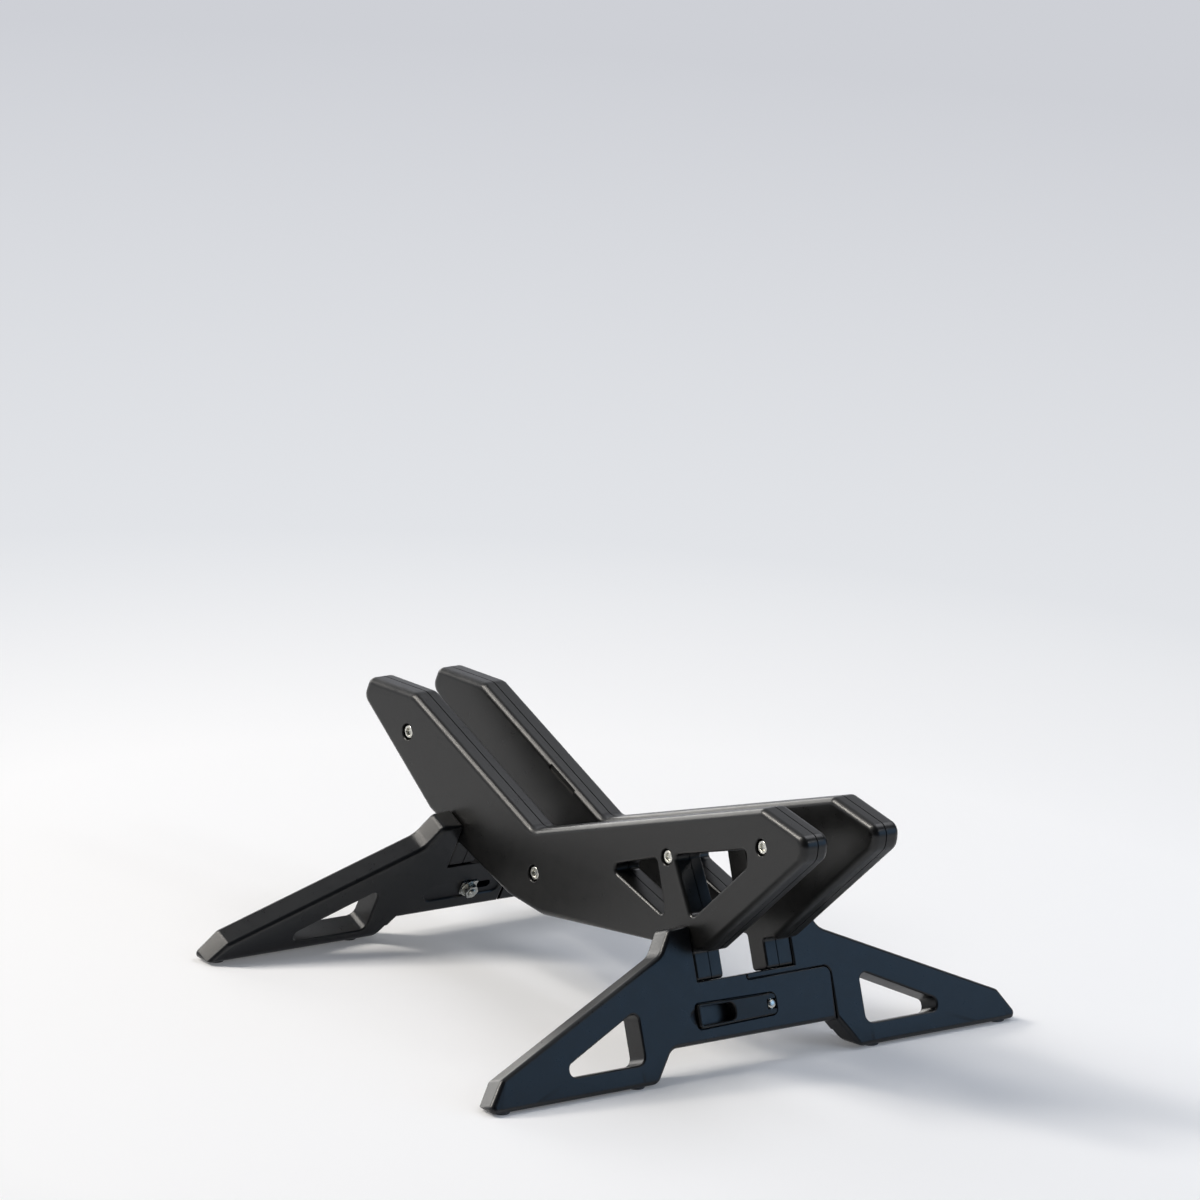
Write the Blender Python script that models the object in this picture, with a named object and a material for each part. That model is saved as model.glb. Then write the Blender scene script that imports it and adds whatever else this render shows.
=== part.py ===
"""Bike parking stand: two side panels that hold a wheel between them, on two leaning legs.

Metres, Z up, X across the stand, Y along the wheel. The front of the stand is at -Y.
The origin is on the floor in the middle of the stand.
"""

from math import acos, atan2, ceil, cos, pi, radians, sin, tan

import bmesh
import bpy
from mathutils import Matrix, Vector

# Clearances
SEAT_GAP = 0.0003
PIN_GAP = 0.0003
SLIDE_GAP = 0.0003
LEVER_GAP = 0.0015

# The whole stand
WIDTH = 0.480
LENGTH = 0.521

# Wheel channel and panel shells
TYRE_GAP = 0.040
INNER_SHELL = 0.011
OUTER_SHELL = 0.013
SHELL_EDGE = 0.0025
SEAM_EDGE = 0.0006

# Panel outline, seen from the side: Y along the wheel, Z up
NOSE_TOP_Z = 0.2015
NOSE_LOW_Z = 0.1855
FRONT_TOP_Y = -0.210
FRONT_TOP_Z = 0.2093
VALLEY_Y = 0.0455
VALLEY_Z = 0.1155
REAR_TOP_Y = 0.200
REAR_TOP_Z = 0.1745
TAIL_TOP_Z = 0.171
TAIL_SLANT = 0.006
TAIL_ROUNDING = 0.0021
TAIL_LOW_Z = 0.1545
REAR_LOW_Y = 0.171
REAR_LOW_Z = 0.093
HEEL_Y = 0.070
HEEL_Z = 0.058
SOLE_Y = 0.028
SOLE_Z = 0.0548
FRONT_LOW_Y = -0.162
FRONT_LOW_Z = 0.0872
NOSE_TOP_RADIUS = 0.006
NOSE_LOW_RADIUS = 0.008
FRONT_TOP_RADIUS = 0.008
FRONT_LOW_RADIUS = 0.004
VALLEY_RADIUS = 0.014
BELLY_RADIUS = 0.025
REAR_TOP_RADIUS = 0.012
REAR_LOW_RADIUS = 0.009
TAIL_TOP_RADIUS = 0.006
TAIL_LOW_RADIUS = 0.009
TAB_WIDTH = 0.018
TAB_EDGE = 0.003

# Windows in the panel's front arm: Y, and depth under the panel's top edge
REAR_WINDOW_TAIL = (-0.045, 0.0325)
REAR_WINDOW_TOP = (-0.099, 0.0300)
REAR_WINDOW_LOW = (-0.115, 0.0765)
FRONT_WINDOW_REAR = (-0.119, 0.0290)
FRONT_WINDOW_TOP = (-0.198, 0.0297)
FRONT_WINDOW_NOSE = (-0.199, 0.0430)
FRONT_WINDOW_LOW = (-0.144, 0.0784)
WINDOW_RADIUS = 0.004

# Shallow relief along the inner top edge of the rear arm
RELIEF_START = 0.079
RELIEF_LENGTH = 0.033
RELIEF_DEPTH = 0.0012
RELIEF_HEIGHT = 0.006

# Panel screws: distance in from the nose or tail, or Y, and depth under the panel's top edge
TAIL_SCREW = (0.057, 0.0307)
VALLEY_SCREW = (0.040, 0.0340)
ARM_SCREW = (-0.111, 0.0302)
NOSE_SCREW = (0.0465, 0.0270)
SCREW_RADIUS = 0.0024
SCREW_HEAD_RADIUS = 0.0049
SCREW_HEAD = 0.0032
SCREW_RIM = 0.0008
SOCKET_ACROSS = 0.0052
SOCKET_DEPTH = 0.0019
SCREW_SUNK = 0.0012
COUNTERBORE_RADIUS = 0.0062
INSERT_RADIUS = 0.0036
INSERT_LENGTH = 0.008

# Legs, in their own leaning plane: x across, h up the leg
LEG_THICKNESS = 0.0192
LEG_LEAN = radians(22.7)
LEG_SPREAD = 0.175
FOOT_TIP_HEIGHT = 0.022
FOOT_TIP_TAPER = 0.013
FOOT_INNER_X = 0.0915
ARM_END_X = 0.073
ARM_END_H = 0.089
POST_WIDTH = 0.0177
POST_TOP_H = 0.106
SLOT_FLOOR_H = 0.065
BAR_BOTTOM_H = 0.0215
BAR_END_X = 0.0755
LEG_EDGE = 0.0022
SLOT_EDGE = 0.0009
SEAM_LINE_EDGE = 0.0006
WINDOW_EDGE = 0.0013
LEG_BELOW = 0.015
SHARP_RADIUS = 0.001
POST_INNER_RADIUS = 0.002
POST_OUTER_RADIUS = 0.0045
ARM_RADIUS = 0.016
TIP_RADIUS = 0.004
TOE_RADIUS = 0.003
BAR_RADIUS = 0.010

# Triangular window in each foot
FOOT_WINDOW_TIP_X = 0.168
FOOT_WINDOW_BACK_X = 0.1015
FOOT_WINDOW_LOW_H = 0.0145
FOOT_WINDOW_TOP_H = 0.0535
FOOT_WINDOW_NOSE = 0.0088
FOOT_WINDOW_RADIUS = 0.0035

# Lap joint between a leg's halves
LAP_START_X = 0.0004
TONGUE_END_X = 0.019
LIP_HEIGHT = 0.0045
LAP_RADIUS = 0.006
HOOK_RADIUS = 0.002
SLIDE_TRAVEL = 0.018

# Shallow recess in the back of the tongue, for the clamp's nut
RECESS_TIP_X = -0.014
RECESS_END_X = 0.057
RECESS_RADIUS = 0.0075
RECESS_DEPTH = 0.0018
RECESS_EDGE = 0.0012

# Clamp: lever, cross pin, bolt, cam plate, and the plate, washer and nut at the back
CLAMP_X = 0.0165
CLAMP_H = 0.0408
BOLT_RADIUS = 0.003
BOLT_HEAD_RADIUS = 0.0042
CROSS_PIN_RADIUS = 0.002
CAM_RADIUS = 0.0047
LEVER_LENGTH = 0.0665
LEVER_HEIGHT = 0.018
LEVER_THICKNESS = 0.006
LEVER_PROUD = 0.0025
LEVER_FRAME = 0.0045
LEVER_RIM = 0.003
LEVER_HOLE_LENGTH = 0.028
LEVER_EDGE = 0.0008
LEVER_CORNER = 0.0015
LEVER_HOLE_RADIUS = 0.003
POCKET_RADIUS = 0.004
CAM_STEPS = 12
CLEVIS_SLOT = 0.0094
CLEVIS_DEPTH = 0.006
CAM_PLATE = 0.001
CAM_PLATE_SIDE = 0.015
CAM_PLATE_CORNER = 0.001
BACK_PLATE = 0.0012
BACK_PLATE_HIGH_END = 0.0085
BACK_PLATE_LOW_END = 0.0055
BACK_PLATE_NEAR_END = 0.0065
BACK_PLATE_HEIGHT = 0.011
NUT_ACROSS = 0.010
NUT_HEIGHT = 0.004
WASHER_RADIUS = 0.0068
WASHER_THICKNESS = 0.0012
BOLT_PROUD = 0.0015
BOLT_DOME = 0.001
PIN_RIM = 0.0004
SCOOP_RADIUS = 0.018
SCOOP_DEPTH = 0.0022

# Screws that hold the panels down on the legs
FOOT_SCREW_RADIUS = 0.002
FOOT_SCREW_HEAD_RADIUS = 0.0036
FOOT_SCREW_HEAD = 0.003
FOOT_SCREW_SUNK = 0.006
FOOT_SCREW_GRIP = 0.012
FOOT_SOCKET_ACROSS = 0.0024

# Rubber pads under the feet
PAD_RADIUS = 0.007
PAD_THICKNESS = 0.004
PAD_PROUD = 0.0015
PAD_TIP_INSET = 0.013
PAD_HEEL_INSET = 0.016
PAD_RIM = 0.0006

# Fineness of arcs and round pieces
WIDE_ARC_STEP = radians(18)
TIGHT_ARC_STEP = radians(45)
WIDE_RADIUS = 0.008
ROUND_SIDES = 14
HIDDEN_SIDES = 10
ROUND_TURNS = (0, pi / 4, pi / 2)
CHAMFER_TURNS = (0, pi / 2)
FINE_EDGE = 0.001
BALL_SIDES = 20

# How far a cutter runs past the face that it opens
PAST = 0.01

# Worked out from the sizes above
foot_tip_x = WIDTH / 2
nose_y = -LENGTH / 2
tail_y = LENGTH / 2 + TAIL_ROUNDING
inner_face = TYRE_GAP / 2
seam = inner_face + INNER_SHELL
outer_face = seam + OUTER_SHELL
post_inner = outer_face + SEAT_GAP
post_outer = post_inner + POST_WIDTH
half_leg = LEG_THICKNESS / 2
bar_top = SLOT_FLOOR_H - LIP_HEIGHT
heel_slope = (FOOT_INNER_X - BAR_END_X) / BAR_BOTTOM_H
pin_front = half_leg + LEVER_PROUD - LEVER_THICKNESS / 2 - SEAT_GAP
cam_floor = pin_front - CAM_RADIUS - PIN_GAP
lever_back = half_leg + LEVER_PROUD - LEVER_THICKNESS
lever_front = half_leg + LEVER_PROUD
lever_end = CLAMP_X - LEVER_LENGTH

LEGS = {"front": -1, "rear": 1}
SIDES = {"left": -1, "right": 1}
LEVER_SIDES = {"front": "left", "rear": "right"}
TONGUE_SIDES = {"front": "right", "rear": "left"}


def clear_scene():
    for old in list(bpy.data.objects):
        bpy.data.objects.remove(old, do_unlink=True)


def new_collection(name):
    collection = bpy.data.collections.new(name)
    bpy.context.scene.collection.children.link(collection)
    return collection


def new_material(name, colour, roughness, metallic=0.0):
    made = bpy.data.materials.new(name)
    made.use_nodes = True
    shader = made.node_tree.nodes["Principled BSDF"]
    shader.inputs["Base Color"].default_value = (*colour, 1.0)
    shader.inputs["Roughness"].default_value = roughness
    shader.inputs["Metallic"].default_value = metallic
    return made


def corner_arc(before, corner, after):
    """The points of one corner (x, y, radius) between its neighbours."""
    middle = Vector(corner[:2])
    if corner[2] <= 0:
        return [middle]
    back = (Vector(before[:2]) - middle).normalized()
    ahead = (Vector(after[:2]) - middle).normalized()
    opening = acos(max(-1.0, min(1.0, back.dot(ahead))))
    turn = pi - opening
    reach = corner[2] / tan(opening / 2)
    centre = middle + (back + ahead).normalized() * (corner[2] / sin(opening / 2))
    step = WIDE_ARC_STEP if corner[2] >= WIDE_RADIUS else TIGHT_ARC_STEP
    count = max(2, ceil(turn / step))
    first = middle + back * reach - centre
    side = 1 if back.x * ahead.y - back.y * ahead.x < 0 else -1
    return [centre + Matrix.Rotation(side * turn * i / count, 2) @ first for i in range(count + 1)]


def rounded(corners):
    """A closed outline from corners (x, y, radius)."""
    points = []
    for i, corner in enumerate(corners):
        points += corner_arc(corners[i - 1], corner, corners[(i + 1) % len(corners)])
    return points


def circle(x, y, radius, sides=ROUND_SIDES):
    middle = Vector((x, y))
    return [middle + Matrix.Rotation(2 * pi * i / sides, 2) @ Vector((radius, 0)) for i in range(sides)]


def into_material(loop, i):
    """The mitred step from an outline's point into its material, which lies on the left."""
    ahead = (loop[(i + 1) % len(loop)] - loop[i]).normalized()
    back = (loop[i] - loop[i - 1]).normalized()
    first = Vector((-back.y, back.x))
    second = Vector((-ahead.y, ahead.x))
    return (first + second) / (1 + first.dot(second))


def signed_area(loop):
    return sum(a.x * b.y - b.x * a.y for a, b in zip(loop, loop[1:] + loop[:1])) / 2


def edge_turns(width):
    """The angles at which an edge of this width gets its points."""
    if width <= 0:
        return (pi / 2,)
    return CHAMFER_TURNS if width <= FINE_EDGE else ROUND_TURNS


def plate_mesh(name, loops, low, high, low_edge=0.0, high_edge=0.0, shares=None):
    """A flat plate with holes: its outline in local X and Y, from local Z low to high.

    Its faces meet its sides in rounded edges, and a share for each loop makes them finer in places.
    """
    shape = bmesh.new()
    bottom = []
    top = []
    levels = []
    for turn in edge_turns(low_edge):
        levels.append((low, low_edge * (1 - cos(turn)), low_edge * (1 - sin(turn))))
    for turn in reversed(edge_turns(high_edge)):
        levels.append((high, -high_edge * (1 - cos(turn)), high_edge * (1 - sin(turn))))
    for number, loop in enumerate(loops):
        outer = number == 0
        if (signed_area(loop) > 0) != outer:
            loop = loop[::-1]
        share = shares[number] if shares else lambda place: 1.0
        rings = []
        for level, rise, inset in levels:
            ring = []
            for i, place in enumerate(loop):
                part_of = share(place)
                spot = place + into_material(loop, i) * inset * part_of
                ring.append(shape.verts.new((spot.x, spot.y, level + rise * part_of)))
            rings.append(ring)
        for below, above in zip(rings, rings[1:]):
            for i in range(len(loop)):
                shape.faces.new((below[i - 1], below[i], above[i], above[i - 1]))
        bottom += [shape.edges.get((rings[0][i - 1], rings[0][i])) for i in range(len(loop))]
        top += [shape.edges.get((rings[-1][i - 1], rings[-1][i])) for i in range(len(loop))]
    bmesh.ops.triangle_fill(shape, edges=bottom, use_beauty=True)
    bmesh.ops.triangle_fill(shape, edges=top, use_beauty=True)
    bmesh.ops.recalc_face_normals(shape, faces=shape.faces)
    mesh = bpy.data.meshes.new(name)
    shape.to_mesh(mesh)
    shape.free()
    return mesh


def rod_mesh(name, radius, low, high, sides=ROUND_SIDES):
    """A round rod along local Z."""
    shape = bmesh.new()
    bmesh.ops.create_cone(
        shape,
        cap_ends=True,
        segments=sides,
        radius1=radius,
        radius2=radius,
        depth=high - low,
        matrix=Matrix.Translation((0, 0, (low + high) / 2)),
    )
    mesh = bpy.data.meshes.new(name)
    shape.to_mesh(mesh)
    shape.free()
    return mesh


def turned_mesh(name, profile, sides=ROUND_SIDES):
    """A solid turned about local Z from (radius, height) points, listed from the top down."""
    shape = bmesh.new()
    points = [shape.verts.new((radius, 0, height)) for radius, height in profile]
    edges = [shape.edges.new(pair) for pair in zip(points, points[1:])]
    bmesh.ops.spin(
        shape,
        geom=points + edges,
        cent=(0, 0, 0),
        axis=(0, 0, 1),
        angle=2 * pi,
        steps=sides,
        use_merge=True,
    )
    bmesh.ops.remove_doubles(shape, verts=shape.verts, dist=1e-6)
    bmesh.ops.recalc_face_normals(shape, faces=shape.faces)
    mesh = bpy.data.meshes.new(name)
    shape.to_mesh(mesh)
    shape.free()
    return mesh


def box_mesh(name, low, high):
    shape = bmesh.new()
    bmesh.ops.create_cube(shape, size=1)
    size = Vector(high) - Vector(low)
    bmesh.ops.scale(shape, verts=shape.verts, vec=size)
    bmesh.ops.translate(shape, verts=shape.verts, vec=(Vector(high) + Vector(low)) / 2)
    mesh = bpy.data.meshes.new(name)
    shape.to_mesh(mesh)
    shape.free()
    return mesh


def place(name, mesh, collection, parent=None, matrix=None, material=None):
    made = bpy.data.objects.new(name, mesh)
    collection.objects.link(made)
    made.parent = parent
    if matrix is not None:
        made.matrix_local = matrix
    if material is not None:
        mesh.materials.clear()
        mesh.materials.append(material)
    return made


def add_part(name, mesh, parent, matrix, material):
    """A visible piece, shaded smooth with its sharp edges kept."""
    mesh.shade_smooth()
    mesh.set_sharp_from_angle(angle=radians(30))
    return place(name, mesh, parts, parent, matrix, material)


def add_cutter(name, mesh, parent, matrix=None):
    made = place(name, mesh, cutters, parent, matrix)
    made.hide_render = True
    made.display_type = "WIRE"
    return made


def cut(target, cutter):
    boolean = target.modifiers.new("cut " + cutter.name, "BOOLEAN")
    boolean.operation = "DIFFERENCE"
    boolean.solver = "EXACT"
    boolean.object = cutter


def leg_point(leg, h, behind=0.0):
    """Where a point of a leg's middle plane lies in the side view, as (y, z)."""
    lean = -LEGS[leg] * LEG_LEAN
    y = LEGS[leg] * LEG_SPREAD + h * sin(lean) + behind * cos(lean)
    z = h * cos(lean) - behind * sin(lean)
    return y, z


def height_on(first, second, y):
    return first[1] + (second[1] - first[1]) * (y - first[0]) / (second[0] - first[0])


def tab_corners(leg, first, second):
    """The corners of a panel tab that stands on a leg's slot floor, from front to rear."""
    corners = []
    slope = (second[1] - first[1]) / (second[0] - first[0])
    lean = -LEGS[leg] * tan(LEG_LEAN)
    for behind in (-TAB_WIDTH / 2, TAB_WIDTH / 2):
        foot = leg_point(leg, SLOT_FLOOR_H + SEAT_GAP, behind)
        rise = (first[1] + slope * (foot[0] - first[0]) - foot[1]) / (1 - slope * lean)
        root = (foot[0] + lean * rise, foot[1] + rise, TAB_EDGE)
        pair = [root, (*foot, TAB_EDGE)]
        corners += pair if behind < 0 else pair[::-1]
    return corners


def panel_outline():
    low_front = (FRONT_LOW_Y, FRONT_LOW_Z)
    sole = (SOLE_Y, SOLE_Z)
    heel = (HEEL_Y, HEEL_Z)
    low_rear = (REAR_LOW_Y, REAR_LOW_Z)
    corners = [(*low_front, FRONT_LOW_RADIUS)]
    corners += tab_corners("front", low_front, sole)
    corners += [(*sole, BELLY_RADIUS), (*heel, BELLY_RADIUS)]
    corners += tab_corners("rear", heel, low_rear)
    corners += [
        (*low_rear, REAR_LOW_RADIUS),
        (tail_y, TAIL_LOW_Z, TAIL_LOW_RADIUS),
        (tail_y - TAIL_SLANT, TAIL_TOP_Z, TAIL_TOP_RADIUS),
        (REAR_TOP_Y, REAR_TOP_Z, REAR_TOP_RADIUS),
        (VALLEY_Y, VALLEY_Z, VALLEY_RADIUS),
        (FRONT_TOP_Y, FRONT_TOP_Z, FRONT_TOP_RADIUS),
        (nose_y, NOSE_TOP_Z, NOSE_TOP_RADIUS),
        (nose_y, NOSE_LOW_Z, NOSE_LOW_RADIUS),
    ]
    return rounded(corners)


def under_top(y, depth):
    """The point of the side view that lies this deep under the panel's top edge."""
    edge = [(nose_y, NOSE_TOP_Z), (FRONT_TOP_Y, FRONT_TOP_Z), (VALLEY_Y, VALLEY_Z)]
    edge += [(REAR_TOP_Y, REAR_TOP_Z), (tail_y - TAIL_SLANT, TAIL_TOP_Z)]
    for start, end in zip(edge, edge[1:]):
        if y <= end[0]:
            break
    return y, height_on(start, end, y) - depth


def panel_windows():
    rear = (REAR_WINDOW_TAIL, REAR_WINDOW_TOP, REAR_WINDOW_LOW)
    front = (FRONT_WINDOW_REAR, FRONT_WINDOW_TOP, FRONT_WINDOW_NOSE, FRONT_WINDOW_LOW)
    return [rounded([(*under_top(*corner), WINDOW_RADIUS) for corner in window]) for window in (rear, front)]


def screw_places():
    """The panel screws from the rear to the nose, as (y, z)."""
    tail = (LENGTH / 2 - TAIL_SCREW[0], TAIL_SCREW[1])
    nose = (nose_y + NOSE_SCREW[0], NOSE_SCREW[1])
    return [under_top(*spot) for spot in (tail, VALLEY_SCREW, ARM_SCREW, nose)]


def side_matrix(x=0.0):
    """Turns a flat outline (local X, Y) to the side view (world Y, Z), its local Z to world X."""
    turn = Matrix(((0, 0, 1, 0), (1, 0, 0, 0), (0, 1, 0, 0), (0, 0, 0, 1)))
    return Matrix.Translation((x, 0, 0)) @ turn


def hex_mesh(name, across, low, high):
    return rod_mesh(name, across / 3**0.5, low, high, 6)


def screw_matrix(side, y, z):
    """Local Z runs out of the panel's outer face at a screw."""
    x = SIDES[side] * outer_face
    out = Vector((SIDES[side], 0, 0))
    up = Vector((0, 0, 1))
    turn = Matrix((up, out.cross(up), out)).transposed()
    return Matrix.Translation((x, y, z)) @ turn.to_4x4()


def make_shells(side):
    sign = SIDES[side]
    loops = [panel_outline(), *panel_windows()]
    shells = {}
    spans = (("outer", seam + SEAT_GAP / 2, outer_face), ("inner", seam - SEAT_GAP / 2, inner_face))
    for shell, near, far in spans:
        low, high = sorted((sign * near, sign * far))
        edges = (SEAM_EDGE, SHELL_EDGE) if high == sign * far else (SHELL_EDGE, SEAM_EDGE)
        name = side + "_" + shell + "_shell"
        mesh = plate_mesh(name, loops, low, high, *edges)
        shells[shell] = add_part(name, mesh, None, side_matrix(), plastic)
    return shells


def make_panel_screws(side, shells):
    under_head = -(SCREW_SUNK + SCREW_HEAD)
    insert_top = -(OUTER_SHELL + SEAT_GAP / 2)
    insert_low = insert_top - INSERT_LENGTH
    shank_end = insert_low + SEAT_GAP
    for number, (y, z) in enumerate(screw_places(), 1):
        matrix = screw_matrix(side, y, z)
        tag = side + "_" + str(number)
        bore = rod_mesh("bore_" + tag, COUNTERBORE_RADIUS, under_head - SEAT_GAP, PAST)
        cut(shells["outer"], add_cutter("bore_" + tag, bore, None, matrix))
        hole = rod_mesh("hole_" + tag, SCREW_RADIUS + PIN_GAP, insert_top - PAST, PAST)
        cut(shells["outer"], add_cutter("hole_" + tag, hole, None, matrix))
        seat = rod_mesh("seat_" + tag, INSERT_RADIUS + SEAT_GAP, insert_low - SEAT_GAP, PAST, HIDDEN_SIDES)
        cut(shells["inner"], add_cutter("seat_" + tag, seat, None, matrix))
        make_screw("panel_screw_" + tag, matrix, under_head, shank_end)
        make_insert("insert_" + tag, matrix, insert_low, insert_top)


def make_screw(name, matrix, under_head, shank_end):
    top = under_head + SCREW_HEAD
    profile = [
        (0, top),
        (SCREW_HEAD_RADIUS - SCREW_RIM, top),
        (SCREW_HEAD_RADIUS, top - SCREW_RIM),
        (SCREW_HEAD_RADIUS, under_head),
        (SCREW_RADIUS, under_head),
        (SCREW_RADIUS, shank_end),
        (0, shank_end),
    ]
    screw = add_part(name, turned_mesh(name, profile), None, matrix, zinc)
    socket = hex_mesh("socket_" + name, SOCKET_ACROSS, top - SOCKET_DEPTH, top + PAST)
    cut(screw, add_cutter("socket_" + name, socket, None, matrix))


def make_insert(name, matrix, low, high):
    loops = [circle(0, 0, INSERT_RADIUS, HIDDEN_SIDES), circle(0, 0, SCREW_RADIUS + PIN_GAP, HIDDEN_SIDES)]
    add_part(name, plate_mesh(name, loops, low, high), None, matrix, brass)


def relief_cutter(side):
    """A thin box along the rear arm's inner top edge."""
    sign = SIDES[side]
    top = (REAR_TOP_Y, REAR_TOP_Z)
    low = (VALLEY_Y, VALLEY_Z)
    slope = atan2(top[1] - low[1], top[0] - low[0])
    start = Vector((sign * inner_face, RELIEF_START, height_on(low, top, RELIEF_START)))
    mesh = box_mesh(
        "relief_" + side,
        (-PAST if sign > 0 else -RELIEF_DEPTH, 0, -RELIEF_HEIGHT),
        (RELIEF_DEPTH if sign > 0 else PAST, RELIEF_LENGTH, PAST),
    )
    matrix = Matrix.Translation(start) @ Matrix.Rotation(slope, 4, "X")
    return add_cutter("relief_" + side, mesh, None, matrix)


def foot_outline(bar_radius):
    """The outer part of a half leg, from the slot floor round the foot to the bar's underside."""
    below = -LEG_BELOW
    heel_x = BAR_END_X + (BAR_BOTTOM_H - below) * heel_slope
    return [
        (post_inner, SLOT_FLOOR_H, SHARP_RADIUS),
        (post_inner, POST_TOP_H, POST_INNER_RADIUS),
        (post_outer, POST_TOP_H, POST_OUTER_RADIUS),
        (ARM_END_X, ARM_END_H, ARM_RADIUS),
        (foot_tip_x - FOOT_TIP_TAPER, FOOT_TIP_HEIGHT, TIP_RADIUS),
        (foot_tip_x, PAD_PROUD + TOE_RADIUS, TOE_RADIUS),
        (foot_tip_x, below, 0),
        (heel_x, below, 0),
        (BAR_END_X, BAR_BOTTOM_H, bar_radius),
    ]


def foot_window():
    tip_top_h = FOOT_WINDOW_LOW_H + FOOT_WINDOW_NOSE
    corners = [
        (FOOT_WINDOW_TIP_X, FOOT_WINDOW_LOW_H),
        (FOOT_WINDOW_TIP_X, tip_top_h),
        (FOOT_WINDOW_BACK_X, FOOT_WINDOW_TOP_H),
        (FOOT_WINDOW_BACK_X, FOOT_WINDOW_LOW_H),
    ]
    return rounded([(*corner, FOOT_WINDOW_RADIUS) for corner in corners])


def mirrored(loop):
    return [Vector((-point[0], point[1])) for point in reversed(loop)]


def flat_foot(mesh):
    """Cuts the leaning foot level, just above the floor."""
    shape = bmesh.new()
    shape.from_mesh(mesh)
    level = Vector((0, cos(LEG_LEAN), sin(LEG_LEAN)))
    bmesh.ops.bisect_plane(
        shape,
        geom=shape.verts[:] + shape.edges[:] + shape.faces[:],
        plane_co=level * PAD_PROUD,
        plane_no=level,
        clear_inner=True,
    )
    rims = [edge for edge in shape.edges if edge.is_boundary]
    bmesh.ops.contextual_create(shape, geom=rims)
    bmesh.ops.recalc_face_normals(shape, faces=shape.faces)
    shape.to_mesh(mesh)
    shape.free()


def leg_edge_share(place):
    """How much of the leg's full edge rounding a point of its outline gets."""
    if place.y < BAR_BOTTOM_H + SEAT_GAP:
        return 1.0
    if abs(place.x) < BAR_END_X + SEAT_GAP and place.y < SLOT_FLOOR_H + SEAT_GAP:
        return SEAM_LINE_EDGE / LEG_EDGE
    if abs(place.x) < post_inner + WIDE_RADIUS:
        return SLOT_EDGE / LEG_EDGE
    return 1.0


def window_edge_share(place):
    return WINDOW_EDGE / LEG_EDGE


def half_leg_mesh(name, outline, window):
    shares = (leg_edge_share, window_edge_share)
    mesh = plate_mesh(name, [outline, window], -half_leg, half_leg, LEG_EDGE, LEG_EDGE, shares)
    flat_foot(mesh)
    return mesh


def make_lever_half(leg, frame):
    """The half that carries the lever: its front layer laps over the other half's tongue."""
    outline = [
        (LAP_START_X, SLOT_FLOOR_H, SHARP_RADIUS),
        *foot_outline(BAR_RADIUS),
        (-BAR_END_X, BAR_BOTTOM_H, 0),
        (-BAR_END_X, bar_top, LAP_RADIUS),
        (LAP_START_X, bar_top, HOOK_RADIUS),
    ]
    name = leg + "_leg_" + LEVER_SIDES[leg]
    mesh = half_leg_mesh(name, mirrored(rounded(outline)), mirrored(foot_window()))
    made = add_part(name, mesh, frame, Matrix(), plastic)
    low = (-TONGUE_END_X, 0, -half_leg - PAST)
    high = (BAR_END_X + PAST, SLOT_FLOOR_H + PAST, SLIDE_GAP / 2)
    back = box_mesh("back_" + leg, low, high)
    cut(made, add_cutter("lap_back_" + leg, back, frame))
    return made


def make_tongue_half(leg, frame):
    """The half with the tongue, which slides behind the lever half's front layer."""
    start = -(TONGUE_END_X - SLIDE_GAP)
    outline = [
        (start, SLOT_FLOOR_H, SHARP_RADIUS),
        *foot_outline(0),
        (start, BAR_BOTTOM_H, 0),
    ]
    name = leg + "_leg_" + TONGUE_SIDES[leg]
    mesh = half_leg_mesh(name, rounded(outline), foot_window())
    made = add_part(name, mesh, frame, Matrix(), plastic)
    end = BAR_END_X + SLIDE_GAP
    top = bar_top + SLIDE_GAP
    hook = -(LAP_START_X - SLIDE_GAP)
    over = SLOT_FLOOR_H + PAST
    corners = [(start - PAST, -PAST, 0), (end, -PAST, 0), (end, top, LAP_RADIUS)]
    corners += [(hook, top, HOOK_RADIUS), (hook, over, 0), (start - PAST, over, 0)]
    front = plate_mesh("lap_front_" + leg, [rounded(corners)], -SLIDE_GAP / 2, half_leg + PAST)
    cut(made, add_cutter("lap_front_" + leg, front, frame))
    return made


def capsule(x0, x1, y, radius):
    """A slot outline with round ends."""
    steps = ROUND_SIDES // 2
    arc = [(radius * sin(pi * i / steps), -radius * cos(pi * i / steps)) for i in range(steps + 1)]
    return [Vector((x1 + a, y + b)) for a, b in arc] + [Vector((x0 - a, y - b)) for a, b in arc]


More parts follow.
